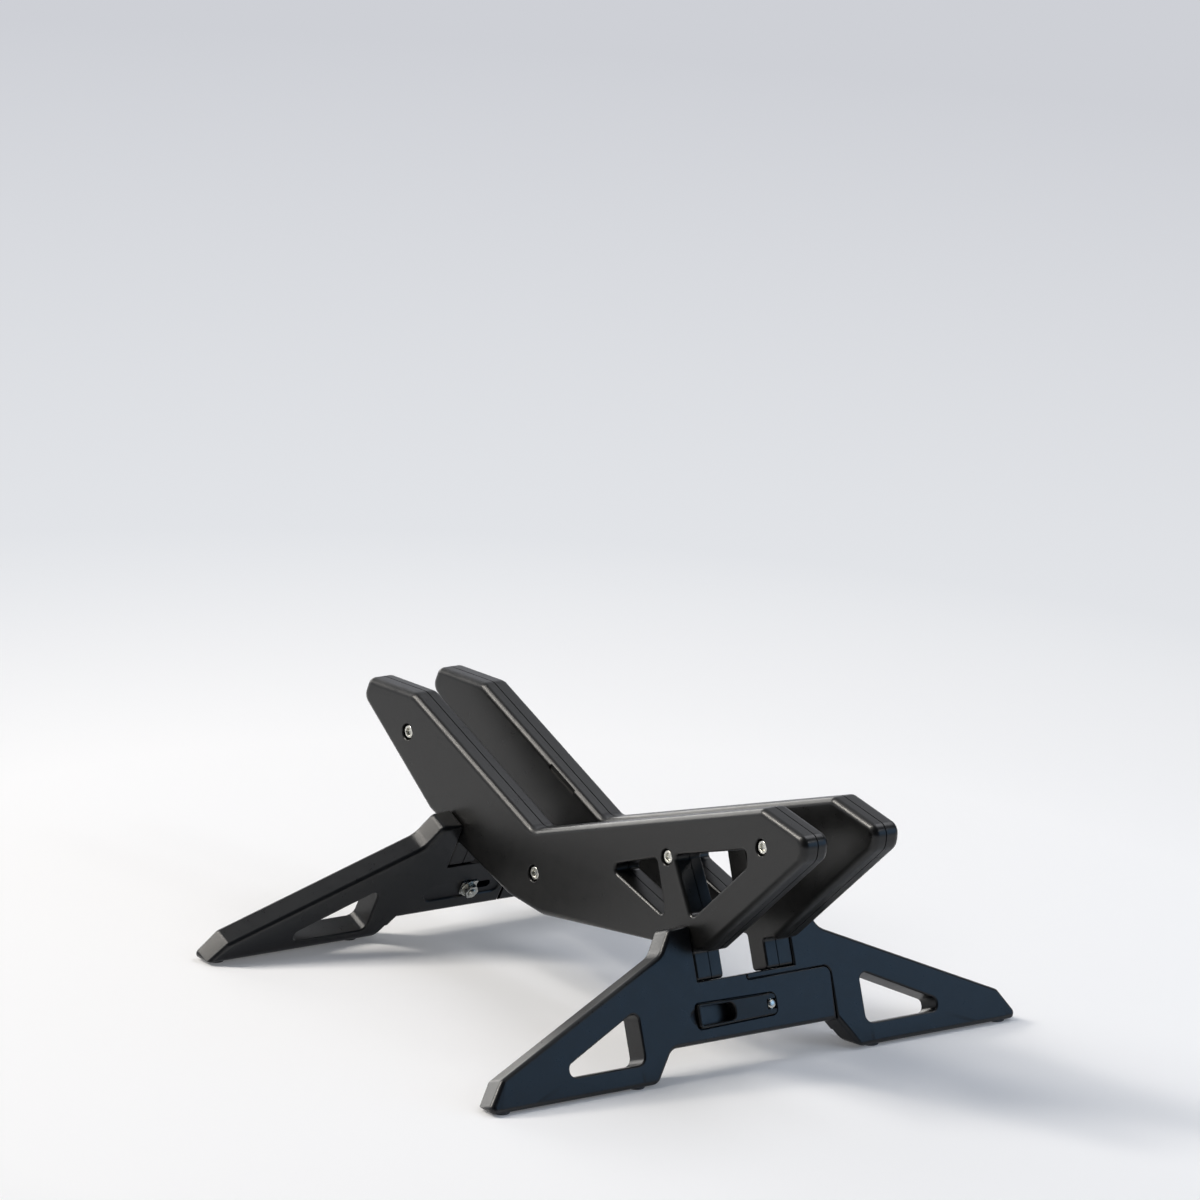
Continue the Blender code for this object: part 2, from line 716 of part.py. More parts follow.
def make_clamp(leg, frame, lever_half, tongue_half):
    pocket_low = CLAMP_H - LEVER_HEIGHT / 2 - LEVER_GAP
    pocket_high = CLAMP_H + LEVER_HEIGHT / 2 + LEVER_GAP
    pocket_right = CLAMP_X + max(CAM_RADIUS + LEVER_GAP, CAM_PLATE_SIDE / 2 + SEAT_GAP)
    pocket_left = lever_end - LEVER_GAP
    outline = rounded(rectangle(pocket_left, pocket_right, pocket_low, pocket_high, POCKET_RADIUS))
    pocket = plate_mesh("pocket_" + leg, [outline], lever_back - SEAT_GAP, half_leg + PAST)
    cut(lever_half, add_cutter("lever_pocket_" + leg, pocket, frame))
    plate_floor = cam_floor - CAM_PLATE
    side = CAM_PLATE_SIDE / 2 + SEAT_GAP
    deep = box_mesh(
        "deep_" + leg,
        (CLAMP_X - side, pocket_low, plate_floor - SEAT_GAP),
        (CLAMP_X + side, pocket_high, half_leg + PAST),
    )
    cut(lever_half, add_cutter("cam_pocket_" + leg, deep, frame))
    hole = rod_mesh("hole_" + leg, BOLT_RADIUS + PIN_GAP, -half_leg - PAST, half_leg + PAST)
    cut(lever_half, add_cutter("bolt_hole_" + leg, hole, frame, Matrix.Translation((CLAMP_X, CLAMP_H, 0))))
    slot_loop = capsule(CLAMP_X - SLIDE_TRAVEL, CLAMP_X, CLAMP_H, BOLT_RADIUS + PIN_GAP)
    slot = plate_mesh("slot_" + leg, [slot_loop], -half_leg - PAST, PAST)
    cut(tongue_half, add_cutter("bolt_slot_" + leg, slot, frame))
    ends = (RECESS_TIP_X + RECESS_RADIUS, RECESS_END_X - RECESS_RADIUS)
    recess_loop = capsule(*ends, CLAMP_H, RECESS_RADIUS)
    floor = -half_leg + RECESS_DEPTH
    recess = plate_mesh("recess_" + leg, [recess_loop], -half_leg - PAST, floor, 0.0, RECESS_EDGE)
    cut(tongue_half, add_cutter("nut_recess_" + leg, recess, frame))
    make_scoop(leg, frame, lever_half)
    make_bolt(leg, frame)
    make_lever(leg, frame)
    half = CAM_PLATE_SIDE / 2
    plate = rectangle(CLAMP_X - half, CLAMP_X + half, CLAMP_H - half, CLAMP_H + half, CAM_PLATE_CORNER)
    loops = [rounded(plate), circle(CLAMP_X, CLAMP_H, BOLT_RADIUS + PIN_GAP)]
    name = leg + "_cam_plate"
    add_part(name, plate_mesh(name, loops, plate_floor, cam_floor), frame, Matrix(), zinc)


def rectangle(x0, x1, y0, y1, radius):
    return [(x0, y0, radius), (x1, y0, radius), (x1, y1, radius), (x0, y1, radius)]


def make_scoop(leg, frame, lever_half):
    """A shallow dish beside the lever's free end, for a fingertip."""
    shape = bmesh.new()
    bmesh.ops.create_uvsphere(shape, u_segments=BALL_SIDES, v_segments=BALL_SIDES // 2, radius=SCOOP_RADIUS)
    mesh = bpy.data.meshes.new("scoop_" + leg)
    shape.to_mesh(mesh)
    shape.free()
    centre = (lever_end - LEVER_GAP, CLAMP_H, half_leg + SCOOP_RADIUS - SCOOP_DEPTH)
    cut(lever_half, add_cutter("scoop_" + leg, mesh, frame, Matrix.Translation(centre)))


def back_plate_corners():
    """The plate under the washer, with one slanting end, about the bolt's axis."""
    half = BACK_PLATE_HEIGHT / 2
    corners = [(-BACK_PLATE_LOW_END, -half), (BACK_PLATE_NEAR_END, -half)]
    corners += [(BACK_PLATE_NEAR_END, half), (-BACK_PLATE_HIGH_END, half)]
    return [(*corner, CAM_PLATE_CORNER) for corner in corners]


def make_bolt(leg, frame):
    at_clamp = Matrix.Translation((CLAMP_X, CLAMP_H, 0))
    head_top = lever_front - SEAT_GAP
    head_low = cam_floor + SEAT_GAP
    plate_low = -half_leg + RECESS_DEPTH - SEAT_GAP - BACK_PLATE
    washer_low = plate_low - SEAT_GAP - WASHER_THICKNESS
    nut_low = washer_low - SEAT_GAP - NUT_HEIGHT
    profile = [
        (0, head_top),
        (BOLT_HEAD_RADIUS - 2 * BOLT_DOME, head_top),
        (BOLT_HEAD_RADIUS, head_top - BOLT_DOME),
        (BOLT_HEAD_RADIUS, head_low),
        (BOLT_RADIUS, head_low),
        (BOLT_RADIUS, nut_low - BOLT_PROUD),
        (0, nut_low - BOLT_PROUD),
    ]
    name = leg + "_clamp_bolt"
    bolt = add_part(name, turned_mesh(name, profile), frame, at_clamp, zinc)
    across = Matrix.Translation((CLAMP_X, CLAMP_H, pin_front)) @ Matrix.Rotation(pi / 2, 4, "X")
    eye = rod_mesh("eye_" + leg, CROSS_PIN_RADIUS + PIN_GAP, -LEVER_HEIGHT, LEVER_HEIGHT)
    cut(bolt, add_cutter("pin_eye_" + leg, eye, frame, across))
    bore = BOLT_RADIUS + PIN_GAP
    name = leg + "_back_plate"
    loops = [rounded(back_plate_corners()), circle(0, 0, bore)]
    mesh = plate_mesh(name, loops, plate_low, plate_low + BACK_PLATE)
    add_part(name, mesh, frame, at_clamp, zinc)
    name = leg + "_clamp_washer"
    loops = [circle(0, 0, WASHER_RADIUS), circle(0, 0, bore)]
    mesh = plate_mesh(name, loops, washer_low, washer_low + WASHER_THICKNESS)
    add_part(name, mesh, frame, at_clamp, zinc)
    name = leg + "_clamp_nut"
    loops = [circle(0, 0, NUT_ACROSS / 3**0.5, 6), circle(0, 0, bore)]
    mesh = plate_mesh(name, loops, nut_low, nut_low + NUT_HEIGHT)
    add_part(name, mesh, frame, at_clamp, zinc)


def make_lever(leg, frame):
    """The lever lies along -X from its cross pin; its local origin is on the pin's axis."""
    pin = Matrix.Translation((CLAMP_X, CLAMP_H, pin_front))
    hinge = bpy.data.objects.new(leg + "_lever_hinge", None)
    parts.objects.link(hinge)
    hinge.parent = frame
    hinge.matrix_local = pin
    front = lever_front - pin_front
    back = lever_back - pin_front
    arc_from = atan2(front, -((CAM_RADIUS**2 - front**2) ** 0.5))
    arc_to = atan2(back, -((CAM_RADIUS**2 - back**2) ** 0.5)) + 2 * pi
    sweep = 2 * pi - (arc_to - arc_from)
    cam = []
    for i in range(CAM_STEPS + 1):
        angle = arc_from - sweep * i / CAM_STEPS
        cam.append((CAM_RADIUS * cos(angle), CAM_RADIUS * sin(angle), 0))
    arm = [(-LEVER_LENGTH, back, LEVER_CORNER), (-LEVER_LENGTH, front, LEVER_CORNER)]
    profile = rounded(arm + cam)
    name = leg + "_lever"
    mesh = plate_mesh(name, [profile], -LEVER_HEIGHT / 2, LEVER_HEIGHT / 2, LEVER_EDGE, LEVER_EDGE)
    stand = Matrix(((1, 0, 0, 0), (0, 0, -1, 0), (0, 1, 0, 0), (0, 0, 0, 1)))
    mesh.transform(stand)
    lever = add_part(name, mesh, hinge, Matrix(), plastic)
    hole_low = -LEVER_HEIGHT / 2 + LEVER_RIM
    hole_left = -LEVER_LENGTH + LEVER_FRAME
    hole_right = hole_left + LEVER_HOLE_LENGTH
    outline = rounded(rectangle(hole_left, hole_right, hole_low, -hole_low, LEVER_HOLE_RADIUS))
    hole = plate_mesh("finger_" + leg, [outline], back - PAST, front + PAST)
    cut(lever, add_cutter("finger_hole_" + leg, hole, hinge))
    slot = box_mesh(
        "clevis_" + leg,
        (-CLEVIS_DEPTH, -CLEVIS_SLOT / 2, back - PAST),
        (CAM_RADIUS + PAST, CLEVIS_SLOT / 2, front + PAST),
    )
    cut(lever, add_cutter("clevis_slot_" + leg, slot, hinge))
    upright = Matrix.Rotation(pi / 2, 4, "X")
    bore = rod_mesh("lever_bore_" + leg, CROSS_PIN_RADIUS + PIN_GAP, -LEVER_HEIGHT, LEVER_HEIGHT)
    cut(lever, add_cutter("lever_bore_" + leg, bore, hinge, upright))
    name = leg + "_cross_pin"
    half = LEVER_HEIGHT / 2
    profile = [(0, half), (CROSS_PIN_RADIUS - PIN_RIM, half), (CROSS_PIN_RADIUS, half - PIN_RIM)]
    profile += [(CROSS_PIN_RADIUS, PIN_RIM - half), (CROSS_PIN_RADIUS - PIN_RIM, -half), (0, -half)]
    add_part(name, turned_mesh(name, profile, HIDDEN_SIDES), hinge, upright, zinc)


def make_foot_screw(leg, side, frame, half, inner_shell):
    """The screw that runs up through the crossbar into the panel's tab."""
    x = -LEGS[leg] * SIDES[side] * (inner_face + INNER_SHELL / 2)
    depth = -half_leg / 2
    up = Matrix.Translation((x, 0, depth)) @ Matrix.Rotation(-pi / 2, 4, "X")
    head_low = BAR_BOTTOM_H + FOOT_SCREW_SUNK - FOOT_SCREW_HEAD
    under_head = BAR_BOTTOM_H + FOOT_SCREW_SUNK
    end = SLOT_FLOOR_H + FOOT_SCREW_GRIP
    tag = leg + "_" + side
    wide = FOOT_SCREW_HEAD_RADIUS + PIN_GAP
    bore = rod_mesh("foot_bore_" + tag, wide, 0, under_head + SEAT_GAP, HIDDEN_SIDES)
    cut(half, add_cutter("foot_bore_" + tag, bore, frame, up))
    hole = rod_mesh("foot_hole_" + tag, FOOT_SCREW_RADIUS + PIN_GAP, 0, end + SEAT_GAP, HIDDEN_SIDES)
    hole_cutter = add_cutter("foot_hole_" + tag, hole, frame, up)
    cut(half, hole_cutter)
    cut(inner_shell, hole_cutter)
    profile = [
        (0, end),
        (FOOT_SCREW_RADIUS, end),
        (FOOT_SCREW_RADIUS, under_head),
        (FOOT_SCREW_HEAD_RADIUS, under_head),
        (FOOT_SCREW_HEAD_RADIUS, head_low),
        (0, head_low),
    ]
    name = "foot_screw_" + tag
    screw = add_part(name, turned_mesh(name, profile, HIDDEN_SIDES), frame, up, zinc)
    socket_top = head_low + FOOT_SCREW_HEAD / 2
    socket = hex_mesh("foot_socket_" + tag, FOOT_SOCKET_ACROSS, head_low - PAST, socket_top)
    cut(screw, add_cutter("foot_socket_" + tag, socket, frame, up))


def make_pads(leg, side, half):
    """Two round rubber pads in pockets under a foot."""
    y = LEGS[leg] * LEG_SPREAD
    heel_x = FOOT_INNER_X + PAD_HEEL_INSET
    for spot, x in (("tip", foot_tip_x - PAD_TIP_INSET), ("heel", heel_x)):
        tag = leg + "_" + side + "_" + spot
        matrix = Matrix.Translation((SIDES[side] * x, y, 0))
        pocket = rod_mesh("pad_pocket_" + tag, PAD_RADIUS + SEAT_GAP, -PAST, PAD_THICKNESS + SEAT_GAP)
        cut(half, add_cutter("pad_pocket_" + tag, pocket, None, matrix))
        profile = [(0, PAD_THICKNESS), (PAD_RADIUS, PAD_THICKNESS), (PAD_RADIUS, PAD_RIM)]
        profile += [(PAD_RADIUS - PAD_RIM, 0), (0, 0)]
        name = "pad_" + tag
        add_part(name, turned_mesh(name, profile), None, matrix, rubber)


def leg_frame(leg):
    """An empty in the leaning plane of a leg: X across, Y up the leg, Z out of its lever's face.

    The rear leg is the front one turned half round.
    """
    empty = bpy.data.objects.new(leg + "_leg_frame", None)
    parts.objects.link(empty)
    half_round = Matrix.Rotation(pi if leg == "rear" else 0, 4, "Z")
    lean = Matrix.Rotation(pi / 2 - LEG_LEAN, 4, "X")
    empty.matrix_local = half_round @ Matrix.Translation((0, -LEG_SPREAD, 0)) @ lean
    return empty


def build():
    shells = {}
    for side in SIDES:
        shells[side] = make_shells(side)
        make_panel_screws(side, shells[side])
        cut(shells[side]["inner"], relief_cutter(side))
    for leg in LEGS:
        frame = leg_frame(leg)
        lever_half = make_lever_half(leg, frame)
        tongue_half = make_tongue_half(leg, frame)
        halves = {LEVER_SIDES[leg]: lever_half, TONGUE_SIDES[leg]: tongue_half}
        make_clamp(leg, frame, lever_half, tongue_half)
        for side in SIDES:
            make_foot_screw(leg, side, frame, halves[side], shells[side]["inner"])
            make_pads(leg, side, halves[side])


clear_scene()
parts = new_collection("bike_parking_stand")
cutters = new_collection("cutters")
plastic = new_material("black_moulded_plastic", (0.018, 0.018, 0.019), 0.45)
zinc = new_material("zinc_plated_steel", (0.62, 0.62, 0.60), 0.28, 1.0)
brass = new_material("brass", (0.60, 0.42, 0.16), 0.35, 1.0)
rubber = new_material("grey_rubber", (0.16, 0.16, 0.16), 0.8)
build()
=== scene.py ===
from math import acos, atan2, ceil, cos, pi, radians, sin, sqrt, tan

import bmesh
import bpy
from mathutils import Matrix, Vector


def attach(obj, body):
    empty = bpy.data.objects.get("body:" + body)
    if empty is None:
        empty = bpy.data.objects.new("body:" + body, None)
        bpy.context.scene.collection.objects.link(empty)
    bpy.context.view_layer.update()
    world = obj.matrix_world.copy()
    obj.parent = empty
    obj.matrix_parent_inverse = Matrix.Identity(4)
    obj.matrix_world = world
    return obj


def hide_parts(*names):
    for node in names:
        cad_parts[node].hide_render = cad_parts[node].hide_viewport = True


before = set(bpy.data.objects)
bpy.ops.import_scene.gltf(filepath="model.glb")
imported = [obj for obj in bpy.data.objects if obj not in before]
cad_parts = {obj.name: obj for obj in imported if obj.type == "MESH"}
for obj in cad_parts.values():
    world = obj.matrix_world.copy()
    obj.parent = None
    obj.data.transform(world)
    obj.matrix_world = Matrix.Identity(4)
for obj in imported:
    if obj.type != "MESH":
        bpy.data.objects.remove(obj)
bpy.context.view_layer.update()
print("stand: frame loaded, with", len(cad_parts), "solids")

# what several pieces share
mm = 0.001
past = 5.0  # how far a cutter reaches beyond what it cuts
through = 40.0  # half the length of a cutter that goes right through
arcStep = radians(7)  # turn between two points of a rounded corner
roundSteps = 5  # strips across a rounded edge
finishedPieces = bpy.data.collections.new("finishedPieces")
bpy.context.scene.collection.children.link(finishedPieces)


def cornerArc(before, corner, after):
    # the points of one rounded corner (x, y, radius), in millimetres
    middle = Vector(corner[:2])
    if corner[2] <= 0:
        return [middle]
    back = (Vector(before[:2]) - middle).normalized()
    ahead = (Vector(after[:2]) - middle).normalized()
    opening = acos(max(-1.0, min(1.0, back.dot(ahead))))
    turn = pi - opening
    centre = middle + (back + ahead).normalized() * (corner[2] / sin(opening / 2))
    first = middle + back * (corner[2] / tan(opening / 2)) - centre
    way = 1 if back.x * ahead.y - back.y * ahead.x < 0 else -1
    count = max(2, ceil(turn / arcStep))
    return [centre + Matrix.Rotation(way * turn * i / count, 2) @ first for i in range(count + 1)]


def rounded(corners):
    points = []
    for i, corner in enumerate(corners):
        points += cornerArc(corners[i - 1], corner, corners[(i + 1) % len(corners)])
    return points


def mirrored(loop):
    return [Vector((-point.x, point.y)) for point in reversed(loop)]


def ring(x, y, radius, sides=48):
    turns = [2 * pi * i / sides for i in range(sides)]
    return [Vector((x + radius * cos(turn), y + radius * sin(turn))) for turn in turns]


def obround(x0, x1, y, radius, steps=20):
    arc = [(radius * sin(pi * i / steps), -radius * cos(pi * i / steps)) for i in range(steps + 1)]
    return [Vector((x1 + a, y + b)) for a, b in arc] + [Vector((x0 - a, y - b)) for a, b in arc]


def boxLoop(x0, x1, y0, y1, radius):
    return rounded([(x0, y0, radius), (x1, y0, radius), (x1, y1, radius), (x0, y1, radius)])


def intoMaterial(loop, i):
    # mitred step from an outline's point into its material, which lies on the left
    ahead = (loop[(i + 1) % len(loop)] - loop[i]).normalized()
    back = (loop[i] - loop[i - 1]).normalized()
    first = Vector((-back.y, back.x))
    second = Vector((-ahead.y, ahead.x))
    return (first + second) / (1 + first.dot(second))


def roundedLevels(low, high, lowEdge, highEdge):
    # (level, rise, inset) of each ring of a plate whose faces meet its sides in quarter rounds
    levels = []
    for edge, level, way in ((lowEdge, low, 1), (highEdge, high, -1)):
        turns = quarterTurns(roundSteps) if edge > 0 else [pi / 2]
        part = [(level, way * edge * (1 - cos(turn)), edge * (1 - sin(turn))) for turn in turns]
        levels += part if way > 0 else part[::-1]
    return levels


def loft(loops, levels, shares=None):
    # a plate with holes, from rings at the given levels, in millimetres
    shape = bmesh.new()
    ends = ([], [])
    for number, loop in enumerate(loops):
        area = sum(a.x * b.y - b.x * a.y for a, b in zip(loop, loop[1:] + loop[:1]))
        if (area > 0) != (number == 0):
            loop = loop[::-1]
        steps = [intoMaterial(loop, i) for i in range(len(loop))]
        rings = []
        for level, rise, inset in levels:
            points = []
            for place, step in zip(loop, steps):
                part = shares[number](place) if shares else 1.0
                spot = place + step * inset * part
                points.append(shape.verts.new((spot.x, spot.y, level + rise * part)))
            rings.append(points)
        for below, above in zip(rings, rings[1:]):
            for i in range(len(loop)):
                shape.faces.new((below[i - 1], below[i], above[i], above[i - 1]))
        for end, points in zip(ends, (rings[0], rings[-1])):
            end += [shape.edges.get((points[i - 1], points[i])) for i in range(len(points))]
    for end in ends:
        bmesh.ops.triangle_fill(shape, edges=end, use_beauty=True)
    bmesh.ops.recalc_face_normals(shape, faces=shape.faces)
    return shape


def turned(profile, sides=48):
    # a solid turned about Z from (radius, height) points, listed from the top down
    shape = bmesh.new()
    points = [shape.verts.new((radius, 0, height)) for radius, height in profile]
    edges = [shape.edges.new(pair) for pair in zip(points, points[1:])]
    bmesh.ops.spin(shape, geom=points + edges, cent=(0, 0, 0), axis=(0, 0, 1), angle=2 * pi,
                   steps=sides, use_merge=True)
    bmesh.ops.remove_doubles(shape, verts=shape.verts, dist=1e-4)
    bmesh.ops.recalc_face_normals(shape, faces=shape.faces)
    return shape


def rod(radius, low, high, sides=48):
    return turned([(0, high), (radius, high), (radius, low), (0, low)], sides)


def quarterTurns(count):
    return [pi / 2 * i / count for i in range(count + 1)]


def block(low, high):
    shape = bmesh.new()
    bmesh.ops.create_cube(shape, size=1)
    bmesh.ops.scale(shape, verts=shape.verts, vec=Vector(high) - Vector(low))
    bmesh.ops.translate(shape, verts=shape.verts, vec=(Vector(high) + Vector(low)) / 2)
    return shape


def asObject(name, shape, place=None):
    # every shape is cut and joined in millimetres, lying flat, and goes to its place when it is finished
    mesh = bpy.data.meshes.new(name)
    shape.to_mesh(mesh)
    shape.free()
    if place is not None:
        mesh.transform(place)
    made = bpy.data.objects.new(name, mesh)
    finishedPieces.objects.link(made)
    return made


def combine(target, other, operation="DIFFERENCE"):
    step = target.modifiers.new(operation.lower(), "BOOLEAN")
    step.operation = operation
    step.solver = "EXACT"
    step.object = other
    bakeModifiers(target)
    bpy.data.objects.remove(other, do_unlink=True)


def bakeModifiers(target):
    graph = bpy.context.evaluated_depsgraph_get()
    mesh = bpy.data.meshes.new_from_object(target.evaluated_get(graph))
    target.modifiers.clear()
    target.data = mesh


def finishPiece(target, material, body, nodes, place=Matrix()):
    # smooth shading that keeps the flat faces flat, then the piece goes to its place and joins its body
    target.data.transform(Matrix.Scale(mm, 4) @ place)
    target.data.shade_smooth()
    target.data.set_sharp_from_angle(angle=radians(32))
    weighted = target.modifiers.new("flatFaces", "WEIGHTED_NORMAL")
    weighted.keep_sharp = True
    weighted.weight = 100
    bakeModifiers(target)
    target.data.materials.clear()
    target.data.materials.append(material)
    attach(target, body)
    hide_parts(*nodes)
    return target


# materials


def linear(code):
    # sRGB hex to linear RGBA
    parts = [int(code[i:i + 2], 16) / 255 for i in (1, 3, 5)]
    return (*[p / 12.92 if p <= 0.04045 else ((p + 0.055) / 1.055) ** 2.4 for p in parts], 1.0)


def addNode(tree, kind, inputs=None, **settings):
    # adds a node with its settings; a value that is a socket gets linked
    node = tree.nodes.new(kind)
    for key, value in settings.items():
        setattr(node, key, value)
    for key, value in (inputs or {}).items():
        if isinstance(value, bpy.types.NodeSocket):
            tree.links.new(value, node.inputs[key])
        else:
            node.inputs[key].default_value = value
    return node


def newMaterial(name):
    material = bpy.data.materials.new(name)
    material.use_nodes = True
    material.node_tree.nodes.clear()
    return material, material.node_tree


def remapped(tree, value, given, wanted, steps="LINEAR"):
    # a number of the given range becomes one of the wanted range
    inputs = {
        "Value": value, "From Min": given[0], "From Max": given[1], "To Min": wanted[0], "To Max": wanted[1],
    }
    return addNode(tree, "ShaderNodeMapRange", inputs, interpolation_type=steps).outputs["Result"]


def spread(tree, factor, low, high):
    return remapped(tree, factor, (0.0, 1.0), (low, high))


def reckoned(tree, operation, first, second):
    return addNode(tree, "ShaderNodeMath", {0: first, 1: second}, operation=operation).outputs[0]


def noise(tree, place, size, detail, roughness=0.5):
    # a noise pattern, its grain about this many millimetres across
    inputs = {"Vector": place, "Scale": 1 / (size * mm), "Detail": detail, "Roughness": roughness}
    return addNode(tree, "ShaderNodeTexNoise", inputs).outputs["Fac"]


def between(tree, factor, low, high):
    # a colour between two hex codes
    inputs = {0: factor, 6: linear(low), 7: linear(high)}
    return addNode(tree, "ShaderNodeMix", inputs, data_type="RGBA").outputs[2]


def bumped(tree, height, depth, strength=1.0, normal=None):
    # a relief of this depth in millimetres
    inputs = {"Height": height, "Strength": strength, "Distance": depth * mm}
    if normal is not None:
        inputs["Normal"] = normal
    return addNode(tree, "ShaderNodeBump", inputs).outputs["Normal"]


def finishMaterial(tree, inputs):
    shader = addNode(tree, "ShaderNodeBsdfPrincipled", inputs)
    addNode(tree, "ShaderNodeOutputMaterial", {"Surface": shader.outputs[0]})


mouldedNylon = {
    "dark": "#0D0D0D",
    "light": "#151514",
    "roughLow": 0.27,
    "roughHigh": 0.37,
    "shine": 0.38,  # the grain scatters part of the plain gloss
    "grainSize": 1.1,  # mm; the real spark-eroded grain is about 0.3, too fine to show here
    "grainDepth": 0.012,  # mm
    "pebbleSize": 1.76,  # mm, drawn coarse as the grain is
    "scuffSize": 9.0,  # mm between faintly duller patches
    "flowSize": 28,  # mm between faint sink marks
    "flowDepth": 0.05,  # mm
}


def makeNylon(name, values):
    # glass-filled nylon from a spark-eroded mould: satin black, its fine pebble breaks up each highlight
    material, tree = newMaterial(name)
    place = addNode(tree, "ShaderNodeTexCoord").outputs["Object"]
    grain = noise(tree, place, values["grainSize"], 3.0, 0.6)
    cells = {"Vector": place, "Scale": 1 / (values["pebbleSize"] * mm)}
    pebble = addNode(tree, "ShaderNodeTexVoronoi", cells, feature="SMOOTH_F1").outputs["Distance"]
    flow = noise(tree, place, values["flowSize"], 1.5)
    scuff = noise(tree, place, values["scuffSize"], 5.0, 0.65)
    dull = reckoned(tree, "MULTIPLY", grain, scuff)
    rough = remapped(tree, dull, (0.12, 0.4), (values["roughLow"], values["roughHigh"]))
    surface = reckoned(tree, "ADD", grain, pebble)
    fine = bumped(tree, surface, values["grainDepth"])
    finishMaterial(tree, {
        "Base Color": between(tree, scuff, values["dark"], values["light"]), "Roughness": rough,
        "Normal": bumped(tree, flow, values["flowDepth"], normal=fine), "IOR": 1.53,
        "Specular IOR Level": values["shine"],
    })
    return material


platedSteel = {
    "pale": "#D9DAD6",
    "warm": "#C6C3B6",
    "roughLow": 0.20,
    "roughHigh": 0.36,
    "spangle": 1.4,  # mm between faint patches of the plating
    "turning": 0.35,  # mm between tool marks, drawn coarse enough to show
    "turningDepth": 0.004,  # mm
}


def makeZinc(name, values):
    # bright zinc plate on turned steel: pale, a little cloudy, with soft tool marks
    material, tree = newMaterial(name)
    place = addNode(tree, "ShaderNodeTexCoord").outputs["Object"]
    cloud = noise(tree, place, values["spangle"], 3.0)
    marks = noise(tree, place, values["turning"], 2.0)
    finishMaterial(tree, {
        "Base Color": between(tree, cloud, values["pale"], values["warm"]), "Metallic": 1.0,
        "Normal": bumped(tree, marks, values["turningDepth"], 0.6),
        "Roughness": spread(tree, cloud, values["roughLow"], values["roughHigh"]),
    })
    return material


knurledBrass = {
    "bright": "#C9A35A", "dull": "#9A7738", "roughLow": 0.28, "roughHigh": 0.5,
    "patch": 1.8, "patchDepth": 0.02,  # mm
}


def makeBrass(name, values):
    # machined brass of a press-in insert: yellow, dulled in patches
    material, tree = newMaterial(name)
    place = addNode(tree, "ShaderNodeTexCoord").outputs["Object"]
    dull = noise(tree, place, values["patch"], 4.0)
    finishMaterial(tree, {
        "Base Color": between(tree, dull, values["bright"], values["dull"]), "Metallic": 1.0,
        "Normal": bumped(tree, dull, values["patchDepth"], 0.5),
        "Roughness": spread(tree, dull, values["roughLow"], values["roughHigh"]),
    })
    return material


footRubber = {
    "dark": "#3A3A3B", "light": "#555556", "roughLow": 0.7, "roughHigh": 0.92,
    "bloom": 4.0, "grain": 0.8, "grainDepth": 0.03,  # mm
}


def makeRubber(name, values):
    # moulded rubber: dull grey with a powdery bloom and a fine grain
    material, tree = newMaterial(name)
    place = addNode(tree, "ShaderNodeTexCoord").outputs["Object"]
    bloom = noise(tree, place, values["bloom"], 4.0)
    grain = noise(tree, place, values["grain"], 2.0)
    finishMaterial(tree, {
        "Base Color": between(tree, bloom, values["dark"], values["light"]),
        "Normal": bumped(tree, grain, values["grainDepth"], 0.8), "IOR": 1.5,
        "Roughness": spread(tree, bloom, values["roughLow"], values["roughHigh"]),
    })
    return material


panelNylon = makeNylon("glassFilledNylonPanel", mouldedNylon)
legNylon = makeNylon("glassFilledNylonLeg", {**mouldedNylon, "dark": "#0D0E10", "light": "#141619"})
leverFinish = {**mouldedNylon, "roughLow": 0.34, "roughHigh": 0.44, "grainDepth": 0.008}
leverNylon = makeNylon("glassFilledNylonLever", leverFinish)
zinc = makeZinc("brightZincPlatedSteel", platedSteel)
brass = makeBrass("machinedBrass", knurledBrass)
rubber = makeRubber("mouldedGreyRubber", footRubber)
print("stand: materials made")

# side panels

sidePanel = {
    "inner": 20.0, "seam": 31.0, "outer": 44.0,  # distances from the stand's middle
    # the shadow line at the seam: half its width, half the gap behind it, its depth
    "seamGap": 0.42, "seamTouch": 0.01, "seamDepth": 1.6,
    "edge": 5.2, "windowEdge": 2.6, "tabEdge": 1.6, "tabTop": 86.0, "tabInner": 120.0,
    "outline": [
        (-162, 87.2, 6), (-149.19, 85.02, 3), (-158.1, 63.71, 3), (-141.5, 56.77, 3), (-130.98, 81.91, 3),
        (28, 54.8, 25), (70, 58, 25), (132, 79.48, 3), (141.5, 56.77, 3), (158.1, 63.71, 3),
        (149.04, 85.39, 3), (171, 93, 9), (262.6, 154.5, 9), (256.6, 171, 6), (200, 174.5, 12),
        (45.5, 115.5, 14), (-210, 209.3, 8), (-260.5, 201.5, 9), (-260.5, 185.5, 12),
    ],
    "windows": [
        [(-45, 116.22, 4), (-99, 138.55, 4), (-115, 97.92, 4)],
        [(-119, 146.89, 4), (-198, 175.19, 4), (-199, 162.26, 4), (-144, 106.67, 4)],
    ],
    "screws": [(203.5, 143.58), (40.0, 83.52), (-111.0, 142.75), (-214.0, 181.68)],
    "counterbore": 6.2, "counterboreRim": 0.5, "counterboreDepth": 4.7, "hole": 2.7,
    "insertSeat": 3.9, "insertDepth": 21.45,
    "topStart": (45.5, 115.5), "topEnd": (200.0, 174.5),  # the straight top edge of the rear arm
    "relief": (79.0, 33.0, 6.0, 1.2),  # start along the wheel, length, height, depth
}
sideWays = {"left": -1, "right": 1}
legWays = {"front": -1, "rear": 1}
# a flat outline (x, y) turned to the side view, its level along world X
sideView = Matrix(((0, 0, 1, 0), (1, 0, 0, 0), (0, 1, 0, 0), (0, 0, 0, 1)))


